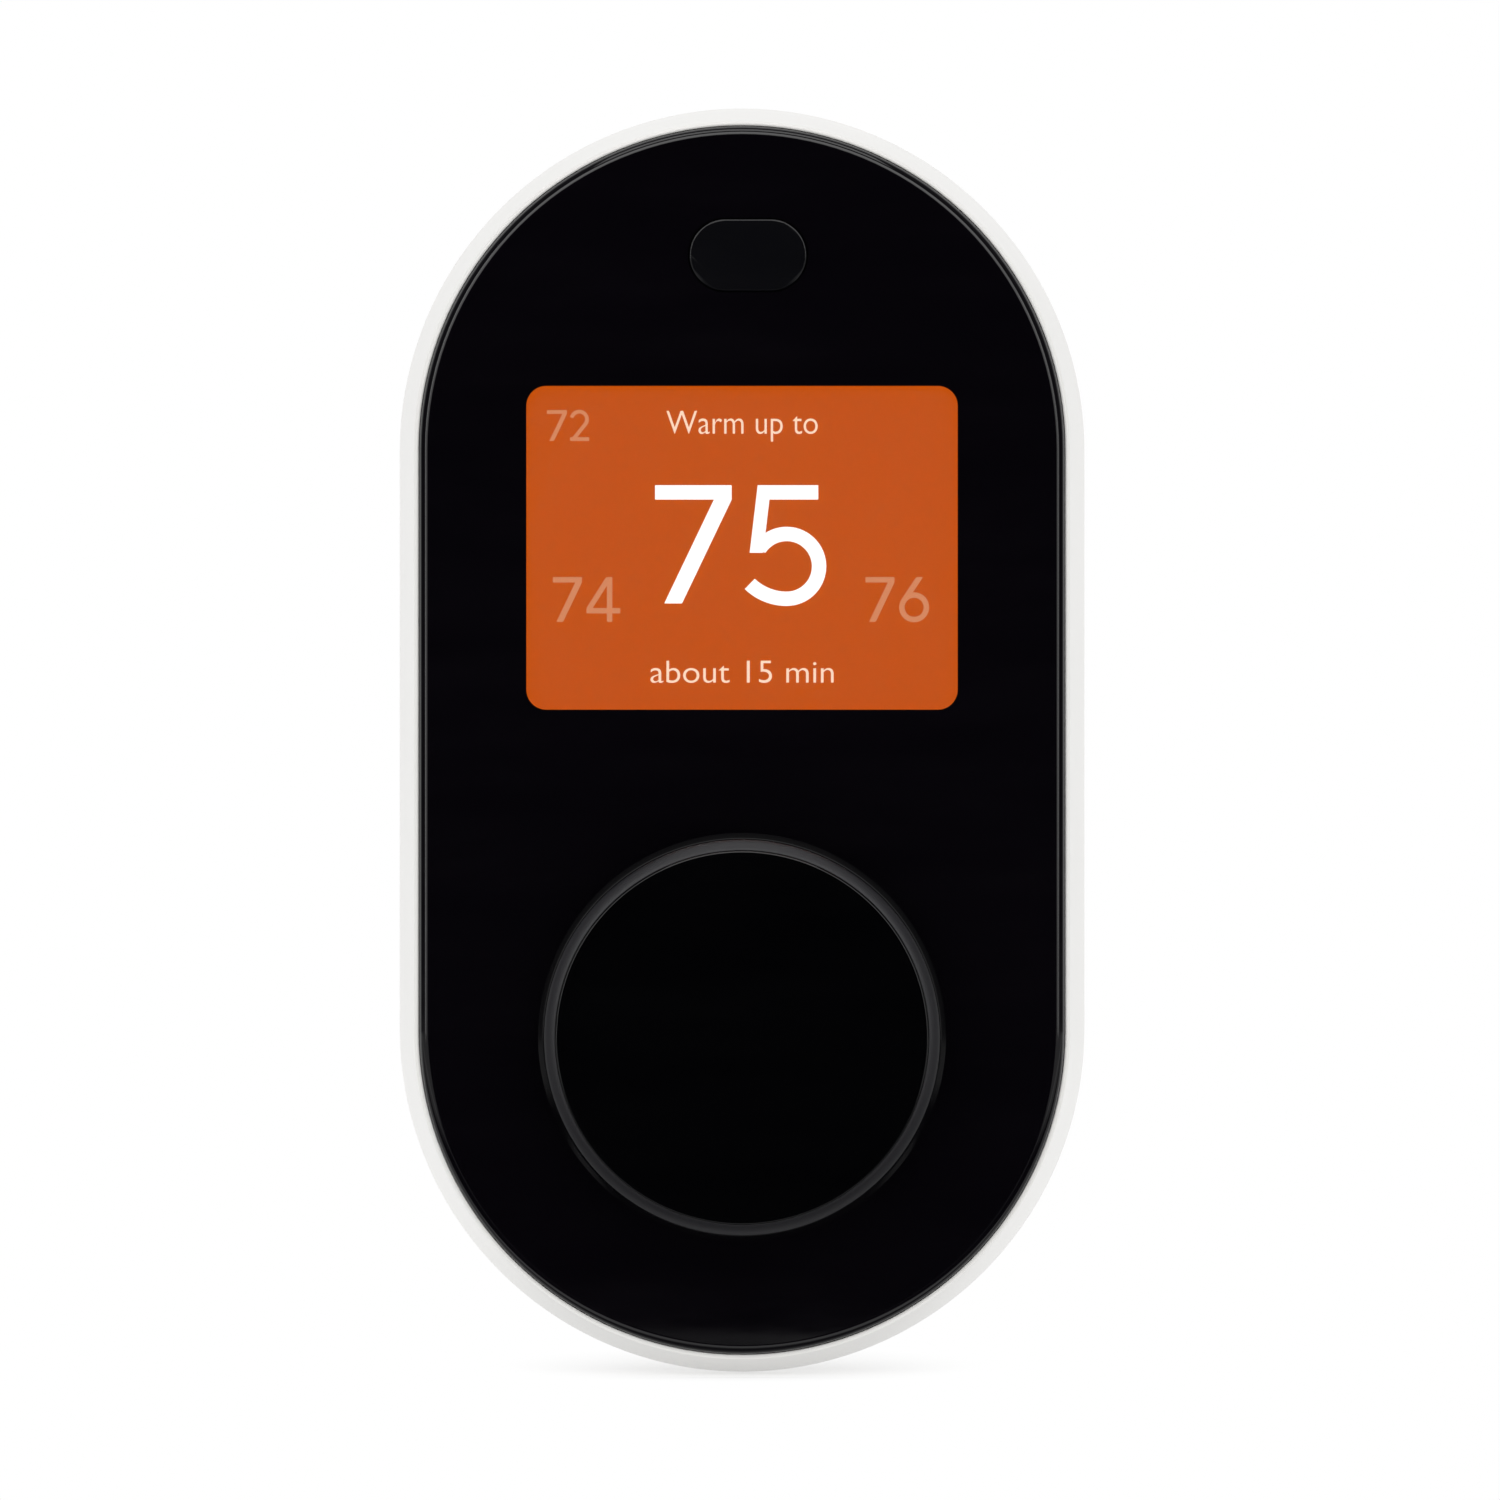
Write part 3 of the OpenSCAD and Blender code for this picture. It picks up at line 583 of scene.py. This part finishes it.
white_shell = moulded_plastic("satin_white_abs_shell", "#EFEEEB", "#ECEBE8", 0.30, 0.28 * MM,
                              0.0006 * MM, {"Coat Weight": 0.15, "Coat Roughness": 0.2},
                              swing=0.012)
finish_piece("housing_shell", bm, white_shell, "display_unit", ["housing"])


# Rear cover and its screws
# A white moulded lid that closes the display unit's back. Four screws go up into the housing's
# bosses; slots let the pins, the grip arms and the air through.

softened("rear_cover", "display_unit", base_abs, 0.15 * MM)
paint(nickel, "rear_cover_screws")


# Main board and what is soldered to it
# A green circuit board with the relays that switch the furnace and fan, two aluminium
# capacitors, an inductor, the processor and a small radio board under a tin can.

moulded_epoxy = moulded_plastic("epoxy_moulding_compound", "#1B1B1D", "#232325", 0.62, 0.18 * MM,
                                0.012 * MM)
can_metal = worked_metal("drawn_aluminium_can", ("#C6C8CA", "#B7B9BB"), 0.3, 0.6 * MM, (1, 8, 1))
tin_sheet = worked_metal("tin_plated_steel_sheet", ("#C3C3C1", "#ACACAB"), 0.34, 0.5 * MM,
                         (1, 1, 9))
softened("main_board", "display_unit", green_board, 0.08 * MM, 1)
softened("wifi_board", "display_unit", green_board, 0.05 * MM, 1)
softened("relays", "display_unit", moulded_epoxy, 0.3 * MM)
softened("processor_chip", "display_unit", moulded_epoxy, 0.1 * MM)
softened("wifi_shield", "display_unit", tin_sheet, 0.12 * MM)
softened("capacitors", "display_unit", can_metal, 0.2 * MM)
softened("inductor", "display_unit", moulded_epoxy, 0.15 * MM)
softened("pin_headers", "display_unit", nylon_black, 0.08 * MM, 1)
paint(copper_alloy, "header_pins")
paint(nickel, "board_screws")


# Display module
# A small colour panel in a pressed tin frame, clipped to a black carrier. A white light guide
# lies behind it, and a copper-and-polyimide ribbon brings its signals.

FOAM_CELL = 0.35 * MM
TRACE_PITCH = 6.28 * MM       # one broad group of traces and the gap beside it
WAVE_REPEAT = math.tau / 20   # a wave texture of scale 1 repeats in this many metres
ORANGE = "#C24E00"
LIT_WIDTH, LIT_HEIGHT, LIT_CORNER = 44.0 * MM, 33.4 * MM, 0.6 * MM
LIT_LIFT = 0.03 * MM
PANEL_CORNER = 0.4 * MM
POOL_SIZE = 16 * MM
DUST_SIZE = 2 * MM

guide_white = moulded_plastic("light_guide_acrylic", "#F2F2EE", "#E9E9E4", 0.3, 0.3 * MM,
                              0.006 * MM)
closed_foam, tree, shader, place = principled("closed_cell_foam", {"Roughness": 0.9})
cells = add(tree, "TexVoronoi", {"Scale": 1 / FOAM_CELL}, {"Vector": (place, "Object")})
tint = add(tree, "Mix", {"data_type": "RGBA", 6: linear("#2C2C2D"), 7: linear("#3A3A3B")},
           {0: (cells, "Distance")})
pores = add(tree, "Bump", {"Strength": 0.7, "Distance": 0.06 * MM}, {"Height": (cells, "Distance")})
tree.links.new(tint.outputs[2], shader.inputs["Base Color"])
tree.links.new(pores.outputs["Normal"], shader.inputs["Normal"])

polyimide, tree, shader, place = principled("polyimide_ribbon", {"Roughness": 0.28, "IOR": 1.6})
lanes = add(tree, "TexWave", {"wave_type": "BANDS", "bands_direction": "X",
                              "Scale": WAVE_REPEAT / TRACE_PITCH},
            {"Vector": (place, "Object")})
tint = add(tree, "Mix", {"data_type": "RGBA", 6: linear("#B5722A"), 7: linear("#7C4714")},
           {0: (lanes, "Fac")})
ridge = add(tree, "Bump", {"Strength": 0.4, "Distance": 0.02 * MM}, {"Height": (lanes, "Fac")})
tree.links.new(tint.outputs[2], shader.inputs["Base Color"])
tree.links.new(ridge.outputs["Normal"], shader.inputs["Normal"])

ivory_nylon = moulded_plastic("ivory_nylon", "#D8CFB4", "#CCC2A6", 0.45, 0.3 * MM, 0.01 * MM)
softened("display_carrier", "display_unit", nylon_black, 0.12 * MM)
softened("display_frame", "display_unit", tin_sheet, 0.06 * MM, 1)
softened("backlight", "display_unit", guide_white, 0.1 * MM)
paint(closed_foam, "display_gasket")
paint(polyimide, "display_ribbon")
paint(nickel, "carrier_screws")
softened("ribbon_connector", "display_unit", ivory_nylon, 0.06 * MM, 1)


def lit_ink(name, colour, second, strength):
    """Light from the panel: an even colour with the faint unevenness of the light guide."""
    material, tree, shader, place = principled(name, {
        "Base Color": (0, 0, 0, 1), "Roughness": 0.35, "Emission Strength": strength})
    pool = add(tree, "TexNoise", {"Scale": 1 / POOL_SIZE, "Detail": 1.0},
               {"Vector": (place, "Object")})
    tint = add(tree, "Mix", {"data_type": "RGBA", 6: linear(colour), 7: linear(second)},
               {0: (pool, "Fac")})
    tree.links.new(tint.outputs[2], shader.inputs["Emission Color"])
    return material


def flat_plate(bm, width, height, corner, centre, y_front, y_back, steps=12):
    """A flat plate with round corners, standing upright between two depths."""
    rim = rounded_outline(bm, width, height, corner, centre, y_front, steps)
    back = run_back(bm, rim, y_back - y_front)
    fill_flat(bm, rim)
    fill_flat(bm, back)


panel_low, panel_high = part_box("display_panel")
panel_black, tree, shader, place = principled("panel_glass_border", {"Roughness": 0.12})
dust = add(tree, "TexNoise", {"Scale": 1 / DUST_SIZE, "Detail": 4.0}, {"Vector": (place, "Object")})
tint = add(tree, "Mix", {"data_type": "RGBA", 6: linear("#08080A"), 7: linear("#101013")},
           {0: (dust, "Fac")})
tree.links.new(tint.outputs[2], shader.inputs["Base Color"])
screen_orange = lit_ink("screen_orange", ORANGE, "#C35000", 1.05)
screen_white = lit_ink("screen_white", "#FFFFFF", "#FEFDFC", 1.15)
screen_pale = lit_ink("screen_pale", "#FAD7C0", "#F8D3BA", 1.12)
screen_faint = lit_ink("screen_faint", "#D98A62", "#D7875E", 1.0)

bm = bmesh.new()
flat_plate(bm, panel_high.x - panel_low.x, panel_high.z - panel_low.z, PANEL_CORNER,
           (0, screen_z), panel_low.y + LIT_LIFT, panel_high.y, 4)
close_seams(bm)
finish_piece("display_panel_glass", bm, panel_black, "display_unit",
             ["display_panel"])
bm = bmesh.new()
flat_plate(bm, LIT_WIDTH, LIT_HEIGHT, LIT_CORNER, (0, screen_z), panel_low.y,
           panel_low.y + LIT_LIFT, 6)
close_seams(bm)
finish_piece("display_lit_area", bm, screen_orange, "display_unit")


# Figures and words on the display
# The set temperature stands large in the middle, with its neighbours, the room's reading and
# two short lines, drawn as a flat nib would draw them.

NIB = 0.122          # stroke width as a share of the figures' height
SWING_STEPS = 40
FIGURE_THICK = 0.02 * MM
CAPITAL = 0.7        # height of the built-in letters' capitals, as a share of their size
THINNER, WORD_THICK = -0.006, 0.004   # shares of that size too
WORD_DEPTH = 2 * MM  # what the letters' size is scaled to in depth


def nib_stroke(bm, nib, moves):
    """Draws one flat stroke: the nib's edge is moved straight by (dx, dy) or swung round a
    centre by (cx, cy, degrees)."""
    verts = [bm.verts.new((x, y, 0)) for x, y in nib]
    edges = [bm.edges.new(verts)]
    for move in moves:
        if len(move) == 2:
            made = bmesh.ops.extrude_edge_only(bm, edges=edges)["geom"]
            bmesh.ops.translate(bm, vec=(*move, 0),
                                verts=[g for g in made if isinstance(g, bmesh.types.BMVert)])
            edges = [g for g in made if isinstance(g, bmesh.types.BMEdge)][:1]
        else:
            cx, cy, degrees = move
            geom = edges + list(edges[0].verts)
            made = bmesh.ops.spin(bm, geom=geom, cent=(cx, cy, 0), axis=(0, 0, 1),
                                  angle=math.radians(degrees), steps=SWING_STEPS)["geom_last"]
            edges = [g for g in made if isinstance(g, bmesh.types.BMEdge)]


def radial_nib(cx, cy, outer, degrees):
    """A nib that lies across a round stroke."""
    c, s = math.cos(math.radians(degrees)), math.sin(math.radians(degrees))
    return [(cx + (outer - NIB) * c, cy + (outer - NIB) * s), (cx + outer * c, cy + outer * s)]


def figure_seven(bm):
    nib_stroke(bm, [(0, 1), (0, 1 - NIB)], [(0.648, 0)])
    nib_stroke(bm, [(0.498, 1 - NIB), (0.648, 1 - NIB)], [(-0.42, NIB - 1)])


def figure_five(bm):
    nib_stroke(bm, [(0.118, 1), (0.118, 1 - NIB)], [(0.512, 0)])
    nib_stroke(bm, [(0.118, 1), (0.232, 1)], [(-0.068, -0.572)])
    nib_stroke(bm, radial_nib(0.363, 0.3135, 0.335, 148),
               [(0.363, 0.3135, -238), (0.363, 0.489, -44)])


def figure_two(bm):
    nib_stroke(bm, radial_nib(0.30, 0.70, 0.31, 168), [(0.30, 0.70, -205)])
    nib_stroke(bm, radial_nib(0.30, 0.70, 0.31, -37), [(-0.40, -0.50)])
    nib_stroke(bm, [(0, NIB), (0, 0)], [(0.62, 0)])


def figure_four(bm):
    nib_stroke(bm, [(0.44, 1), (0.58, 1)], [(-0.44, -0.69)])
    nib_stroke(bm, [(0, 0.31), (0, 0.31 - NIB)], [(0.755, 0)])
    nib_stroke(bm, [(0.455, 1), (0.455 + NIB, 1)], [(0, -1)])


def figure_six(bm):
    nib_stroke(bm, radial_nib(0.335, 0.325, 0.335, 0), [(0.335, 0.325, 360)])
    nib_stroke(bm, [(0.385, 1), (0.535, 1)], [(-0.355, -0.53)])


# each figure's drawing, and how far it moves the pen on
FIGURES = {"7": (figure_seven, 0.75), "5": (figure_five, 0.70), "2": (figure_two, 0.66),
           "4": (figure_four, 0.74), "6": (figure_six, 0.68)}


def draw_figures(name, text, left, base, height, material):
    """Draws a number on the display; left and base are measured from the display's centre."""
    bm = bmesh.new()
    pen = 0
    for character in text:
        glyph = bmesh.new()
        shape, advance = FIGURES[character]
        shape(glyph)
        bmesh.ops.translate(glyph, vec=(pen, 0, 0), verts=glyph.verts)
        held = bpy.data.meshes.new("glyph")
        glyph.to_mesh(held)
        glyph.free()
        bm.from_mesh(held)
        bpy.data.meshes.remove(held)
        pen += advance
    bmesh.ops.remove_doubles(bm, verts=bm.verts, dist=1e-5)
    thick = bmesh.ops.extrude_face_region(bm, geom=bm.faces[:])["geom"]
    bmesh.ops.translate(bm, vec=(0, 0, FIGURE_THICK / height),
                        verts=[g for g in thick if isinstance(g, bmesh.types.BMVert)])
    stand = (Matrix.Translation((left, panel_low.y, screen_z + base))
             @ Matrix.Rotation(math.pi / 2, 4, "X") @ Matrix.Scale(height, 4))
    bmesh.ops.transform(bm, matrix=stand, verts=bm.verts)
    bmesh.ops.recalc_face_normals(bm, faces=bm.faces)
    return finish_piece(name, bm, material, "display_unit")


def draw_words(name, text, base, height, width, material):
    """Draws a short centred line in Blender's own letters, fitted to a height and width."""
    curve = bpy.data.curves.new(name, "FONT")
    curve.body, curve.size, curve.resolution_u = text, 1.0, 6
    curve.offset, curve.extrude = THINNER, WORD_THICK
    writer = link_object(name, curve)
    bpy.context.view_layer.update()
    held = bpy.data.meshes.new_from_object(
        writer.evaluated_get(bpy.context.evaluated_depsgraph_get()))
    bpy.data.objects.remove(writer)
    xs = [v.co.x for v in held.vertices]
    stand = (Matrix.Translation((0, panel_low.y - 0.5 * FIGURE_THICK, screen_z + base))
             @ Matrix.Rotation(math.pi / 2, 4, "X")
             @ Matrix.Diagonal((width / (max(xs) - min(xs)), height / CAPITAL, WORD_DEPTH, 1))
             @ Matrix.Translation((-(max(xs) + min(xs)) / 2, 0, 0)))
    held.transform(stand)
    bm = bmesh.new()
    bm.from_mesh(held)
    bpy.data.meshes.remove(held)
    return finish_piece(name, bm, material, "display_unit")


# name, figures, left edge, base line and height in millimetres, ink
for name, text, left, base, height, ink in [
        ("figure_set_75", "75", -8.74, -5.58, 11.88, screen_white),
        ("figure_room_72", "72", -19.6, 10.74, 3.1, screen_faint),
        ("figure_lower_74", "74", -19.0, -7.43, 4.5, screen_faint),
        ("figure_higher_76", "76", 12.4, -7.43, 4.5, screen_faint)]:
    draw_figures(name, text, left * MM, base * MM, height * MM, ink)
# name, words, base line, height of a capital and width in millimetres
for name, text, base, height, width in [("words_state", "Warm up to", 11.45, 2.4, 15.2),
                                        ("words_time", "about 15 min", -13.55, 2.3, 18.4)]:
    draw_words(name, text, base * MM, height * MM, width * MM, screen_pale)


# Front lens
# One piece of piano-black acrylic, moulded and hard-coated, with a fully rounded front edge.
# It looks bottomless, and only its edge picks up thin lines of light.

LENS_EDGE = 0.9 * MM
WINDOW_CORNER = 2 * MM
PIR_W, PIR_H = 11.9 * MM, 7.3 * MM
SHAFT_OPENING = (15 * MM, 15 * MM, 7.5 * MM)   # width, height, corner radius
SMEAR_SIZE = 22 * MM      # wiping marks, drawn this wide so that they show
WIPE_TURN, WIPE_STRETCH = (0, 0.6, 0), (1, 1, 5)


def polished_black(name, colour, second, roughness, settings=None):
    """Hard-coated black acrylic: mirror gloss with faint wiping marks in the coat."""
    material, tree, shader, place = principled(name, {"IOR": 1.49, **(settings or {})})
    wipe = add(tree, "Mapping", {"Rotation": WIPE_TURN, "Scale": WIPE_STRETCH},
               {"Vector": (place, "Object")})
    smear = add(tree, "TexNoise", {"Scale": 1 / SMEAR_SIZE, "Detail": 5.0, "Roughness": 0.6},
                {"Vector": (wipe, "Vector")})
    haze = add(tree, "MapRange", {"From Min": 0.35, "From Max": 0.7, "To Min": roughness,
                                  "To Max": roughness + 0.05}, {"Value": (smear, "Fac")})
    tint = add(tree, "Mix", {"data_type": "RGBA", 6: linear(colour), 7: linear(second)},
               {0: (smear, "Fac")})
    tree.links.new(tint.outputs[2], shader.inputs["Base Color"])
    tree.links.new(haze.outputs["Result"], shader.inputs["Roughness"])
    return material


piano_black = polished_black("piano_black_acrylic", "#050407", "#070509", 0.03)
lens_front, lens_back = lens_low.y, lens_high.y
window_w, window_h = screen_high.x - screen_low.x + SEAM, screen_high.z - screen_low.z + SEAM
bm = bmesh.new()
sweep_round_body(bm, [(lens_r, lens_front), (lens_r, lens_back)])
lens_openings = [
    rounded_outline(bm, window_w, window_h, WINDOW_CORNER, (0, screen_z), lens_front, 16),
    rounded_outline(bm, PIR_W + 4 * SEAM, PIR_H + 4 * SEAM, PIR_H / 2 + 2 * SEAM,
                    (pir_x, pir_z), lens_front, 24),
    rounded_outline(bm, *SHAFT_OPENING, (0, knob_z), lens_front, 16),
]
lens_rims = [run_back(bm, rim, lens_back - lens_front) for rim in lens_openings]
fill_flat(bm, ring_edges(bm, lens_r, lens_front) + [e for rim in lens_openings for e in rim])
fill_flat(bm, ring_edges(bm, lens_r, lens_back) + [e for rim in lens_rims for e in rim])
round_over(bm, ring_edges(bm, lens_r, lens_front), LENS_EDGE, 12)
close_seams(bm)
finish_piece("lens_black", bm, piano_black, "display_unit", ["front_lens"])


# Display window and lens tape
# A clear pane of the same hard-coated acrylic fills the opening over the panel, flush with the
# lens, which grips its edge. A black foam tape joins the lens to the housing's ledge.

PANE_SMEAR_SIZE = 20 * MM

clear_pane, tree, shader, place = principled("clear_hard_coated_acrylic", {
    "Base Color": (1, 1, 1, 1), "IOR": 1.49, "Transmission Weight": 1.0})
smear = add(tree, "TexNoise", {"Scale": 1 / PANE_SMEAR_SIZE, "Detail": 4.0},
            {"Vector": (place, "Object")})
haze = add(tree, "MapRange", {"To Min": 0.0, "To Max": 0.03}, {"Value": (smear, "Fac")})
tree.links.new(haze.outputs["Result"], shader.inputs["Roughness"])
bm = bmesh.new()
flat_plate(bm, window_w + SEAM, window_h + SEAM, WINDOW_CORNER + SEAM / 2, (0, screen_z),
           screen_low.y + 0.4 * SEAM, screen_high.y, 16)
close_seams(bm)
finish_piece("window_pane", bm, clear_pane, "display_unit", ["display_window"])
paint(closed_foam, "lens_tape")


# Motion sensor
# A pill of smooth dark polyethylene set in the lens, with a hairline gap round it. Behind it a
# steel-canned sensor stands in a soft grey holder.

PIR_ROUND = 0.22 * MM

dark_pe = polished_black("dark_polyethylene", "#07070A", "#09090C", 0.10, {"IOR": 1.42})
bm = bmesh.new()
pill_rim = rounded_outline(bm, PIR_W, PIR_H, PIR_H / 2, (pir_x, pir_z), pir_low.y, 24)
pill_back = run_back(bm, pill_rim, lens_back - pir_low.y)
fill_flat(bm, pill_rim)
flange_rim = rounded_outline(bm, pir_high.x - pir_low.x, pir_high.z - pir_low.z,
                             (pir_high.z - pir_low.z) / 2, (pir_x, pir_z), lens_back, 24)
flange_back = run_back(bm, flange_rim, pir_high.y - lens_back)
fill_flat(bm, pill_back + flange_rim)
fill_flat(bm, flange_back)
round_over(bm, pill_rim, PIR_ROUND, 4)
close_seams(bm)
finish_piece("sensor_window", bm, dark_pe, "display_unit", ["pir_window"])
softened("pir_sensor", "display_unit", tin_sheet, 0.12 * MM)
softened("pir_holder", "display_unit", closed_foam, 0.15 * MM)


# Temperature sensor
# A dark red epoxy bead on two leads at the cool lower end of the board, fenced off by foam
# from the warmth of the electronics.

red_epoxy = polished_black("dipped_epoxy_bead", "#5A1512", "#4A100E", 0.2)
paint(red_epoxy, "temperature_sensor")
softened("sensor_barrier", "display_unit", closed_foam, 0.2 * MM)


# Rotary encoder
# A black moulded body under a pressed bracket, with a turned and threaded bushing held by a
# nut. The rotor turns in it, and a sprung dome underneath clicks when the shaft is pressed.

turned_steel = worked_metal("turned_steel", ("#B9B9BA", "#A6A6A8"), 0.26, 0.3 * MM, (1, 9, 1))
acetal = moulded_plastic("natural_acetal", "#DCD8C8", "#D3CFBE", 0.38, 0.3 * MM, 0.006 * MM,
                         {"Subsurface Weight": 0.05})
softened("encoder_body", "display_unit", nylon_black, 0.15 * MM)
softened("encoder_bracket", "display_unit", tin_sheet, 0.08 * MM, 1)
softened("encoder_bushing", "display_unit", turned_steel, 0.15 * MM)
softened("encoder_nut", "display_unit", nickel, 0.15 * MM)
dome = softened("switch_dome", "display_unit", tin_sheet, 0.05 * MM, 1)
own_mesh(dome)
softened("encoder_rotor", "encoder_rotor", acetal, 0.12 * MM)
softened("encoder_shaft", "knob", turned_steel, 0.15 * MM)
paint(tin_sheet, "shaft_clip")


# Knob
# A hollow knob moulded in matte black plastic with a soft rounded shoulder, ribbed inside
# round a hub that grips the shaft, and a disc of polished black acrylic set in its face.

KNOB_STEPS = 160
FACE_THICK = 0.9 * MM
FACE_ROUND = 0.16 * MM
WALL = 2.0 * MM
RIM_INSET = 0.55 * MM             # the side's front edge lies this far inside its back edge
SHOULDER_BACK = 0.16 * MM         # the shoulder starts this far behind the face
SHOULDER_WIDE, SHOULDER_DROP = 0.55 * MM, 0.27 * MM
SIDE_BACK = 1.0 * MM              # the polished side starts this far behind the face
GRAIN_END = 0.85 * MM
HUB_R, BORE_R = 5.0 * MM, 3.02 * MM
HUB_BACK, PLATE_BACK, BORE_END = -29.4 * MM, -32.2 * MM, -32.3 * MM
RIBS = 6
RIB_SIZE = (13.8 * MM, 2.6 * MM, 1.0 * MM, 1)
RIB_OUT, RIB_DEPTH = 11.6 * MM, -31.1 * MM
KNOB_GRAIN = 0.22 * MM

face_low, face_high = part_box("knob_face")
face_r = face_high.x
knob_r = knob_high.x
rim_r = knob_r - RIM_INSET
shoulder_r = rim_r - SHOULDER_WIDE
knob_back = knob_high.y
face_y = face_low.y
face_seat = face_y + FACE_THICK
shoulder_y = face_y + SHOULDER_BACK
side_front = face_y + SIDE_BACK


def off_knob_axis(co):
    """How far a point is from the knob's axis."""
    return math.hypot(co.x, co.z - knob_z)


def turned_round_knob(bm, section):
    """Turns a section, as (radius, y) points, once round the knob's axis."""
    verts = [bm.verts.new((r, y, knob_z)) for r, y in section]
    edges = [bm.edges.new(pair) for pair in zip(verts, verts[1:])]
    bmesh.ops.spin(bm, geom=verts + edges, cent=(0, 0, knob_z), axis=(0, 1, 0),
                   angle=2 * math.pi, steps=KNOB_STEPS, use_merge=True)
    bmesh.ops.remove_doubles(bm, verts=bm.verts, dist=1e-7)


# ABS with a spark-eroded grain on the shoulder, which scatters light, above a polished side.
# The side's darker colour is partly that polished finish and partly painted shade on the side wall.
grained_abs_painted_side_shade, tree, shader, place = principled("grained_and_polished_black_abs_painted_side_shade", {"IOR": 1.53})
depth = add(tree, "SeparateXYZ", {}, {"Vector": (place, "Object")})
grain_and_side_shade_mask = add(tree, "MapRange", {"From Min": face_y + GRAIN_END, "From Max": side_front,
                                 "To Min": 1.0, "To Max": 0.0}, {"Value": (depth, "Y")})
pits = add(tree, "TexNoise", {"Scale": 1 / KNOB_GRAIN, "Detail": 2.0},
           {"Vector": (place, "Object")})
speck = add(tree, "Mix", {"data_type": "RGBA", 6: linear("#131217"), 7: linear("#1B1A1F")},
            {0: (pits, "Fac")})
# painted shade: behind the grain the side takes a near-black colour, partly its finish and partly
# painted shade
tint = add(tree, "Mix", {"data_type": "RGBA", 6: linear("#060607")},
           {0: (grain_and_side_shade_mask, "Result"), 7: (speck, 2)})
gloss = add(tree, "MapRange", {"To Min": 0.08, "To Max": 0.50}, {"Value": (grain_and_side_shade_mask, "Result")})
depth_of_grain = add(tree, "Math", {"operation": "MULTIPLY"},
                     {0: (pits, "Fac"), 1: (grain_and_side_shade_mask, "Result")})
skin = add(tree, "Bump", {"Strength": 0.6, "Distance": 0.012 * MM},
           {"Height": (depth_of_grain, 0)})
tree.links.new(tint.outputs[2], shader.inputs["Base Color"])
tree.links.new(gloss.outputs["Result"], shader.inputs["Roughness"])
tree.links.new(skin.outputs["Normal"], shader.inputs["Normal"])
bm = bmesh.new()
turned_round_knob(bm, [
    (0, face_seat), (face_r + SEAM, face_seat), (face_r + SEAM, shoulder_y),
    (shoulder_r, shoulder_y + SHOULDER_DROP), (rim_r, side_front), (knob_r, knob_back),
    (knob_r - WALL, knob_back), (knob_r - WALL, PLATE_BACK), (HUB_R, PLATE_BACK),
    (HUB_R, HUB_BACK), (BORE_R, HUB_BACK), (BORE_R, BORE_END), (0, BORE_END)])
# radius and depth of each edge, and how far and how finely it is rounded
for r, y, width, segments in [(face_r + SEAM, shoulder_y, 0.08 * MM, 2),
                              (shoulder_r, shoulder_y + SHOULDER_DROP, 0.35 * MM, 4),
                              (rim_r, side_front, 0.45 * MM, 5),
                              (knob_r, knob_back, 0.30 * MM, 4),
                              (knob_r - WALL, knob_back, 0.30 * MM, 3)]:
    round_over(bm, ring_edges(bm, r, y, off_knob_axis), width, segments)
for i in range(RIBS):
    rib = (Matrix.Translation((0, 0, knob_z)) @ Matrix.Rotation(math.tau * i / RIBS, 4, "Y")
           @ Matrix.Translation((RIB_OUT, RIB_DEPTH, 0)) @ Matrix.Diagonal(RIB_SIZE))
    bmesh.ops.create_cube(bm, size=1, matrix=rib)
close_seams(bm)
finish_piece("knob_shell", bm, grained_abs_painted_side_shade, "knob", ["knob_body"])

polished_face = polished_black("polished_black_disc", "#020203", "#030304", 0.02)
bm = bmesh.new()
turned_round_knob(bm, [(0, face_y), (face_r, face_y), (face_r, face_seat), (0, face_seat)])
round_over(bm, ring_edges(bm, face_r, face_y, off_knob_axis), FACE_ROUND, 4)
close_seams(bm)
finish_piece("knob_disc", bm, polished_face, "knob", ["knob_face"])
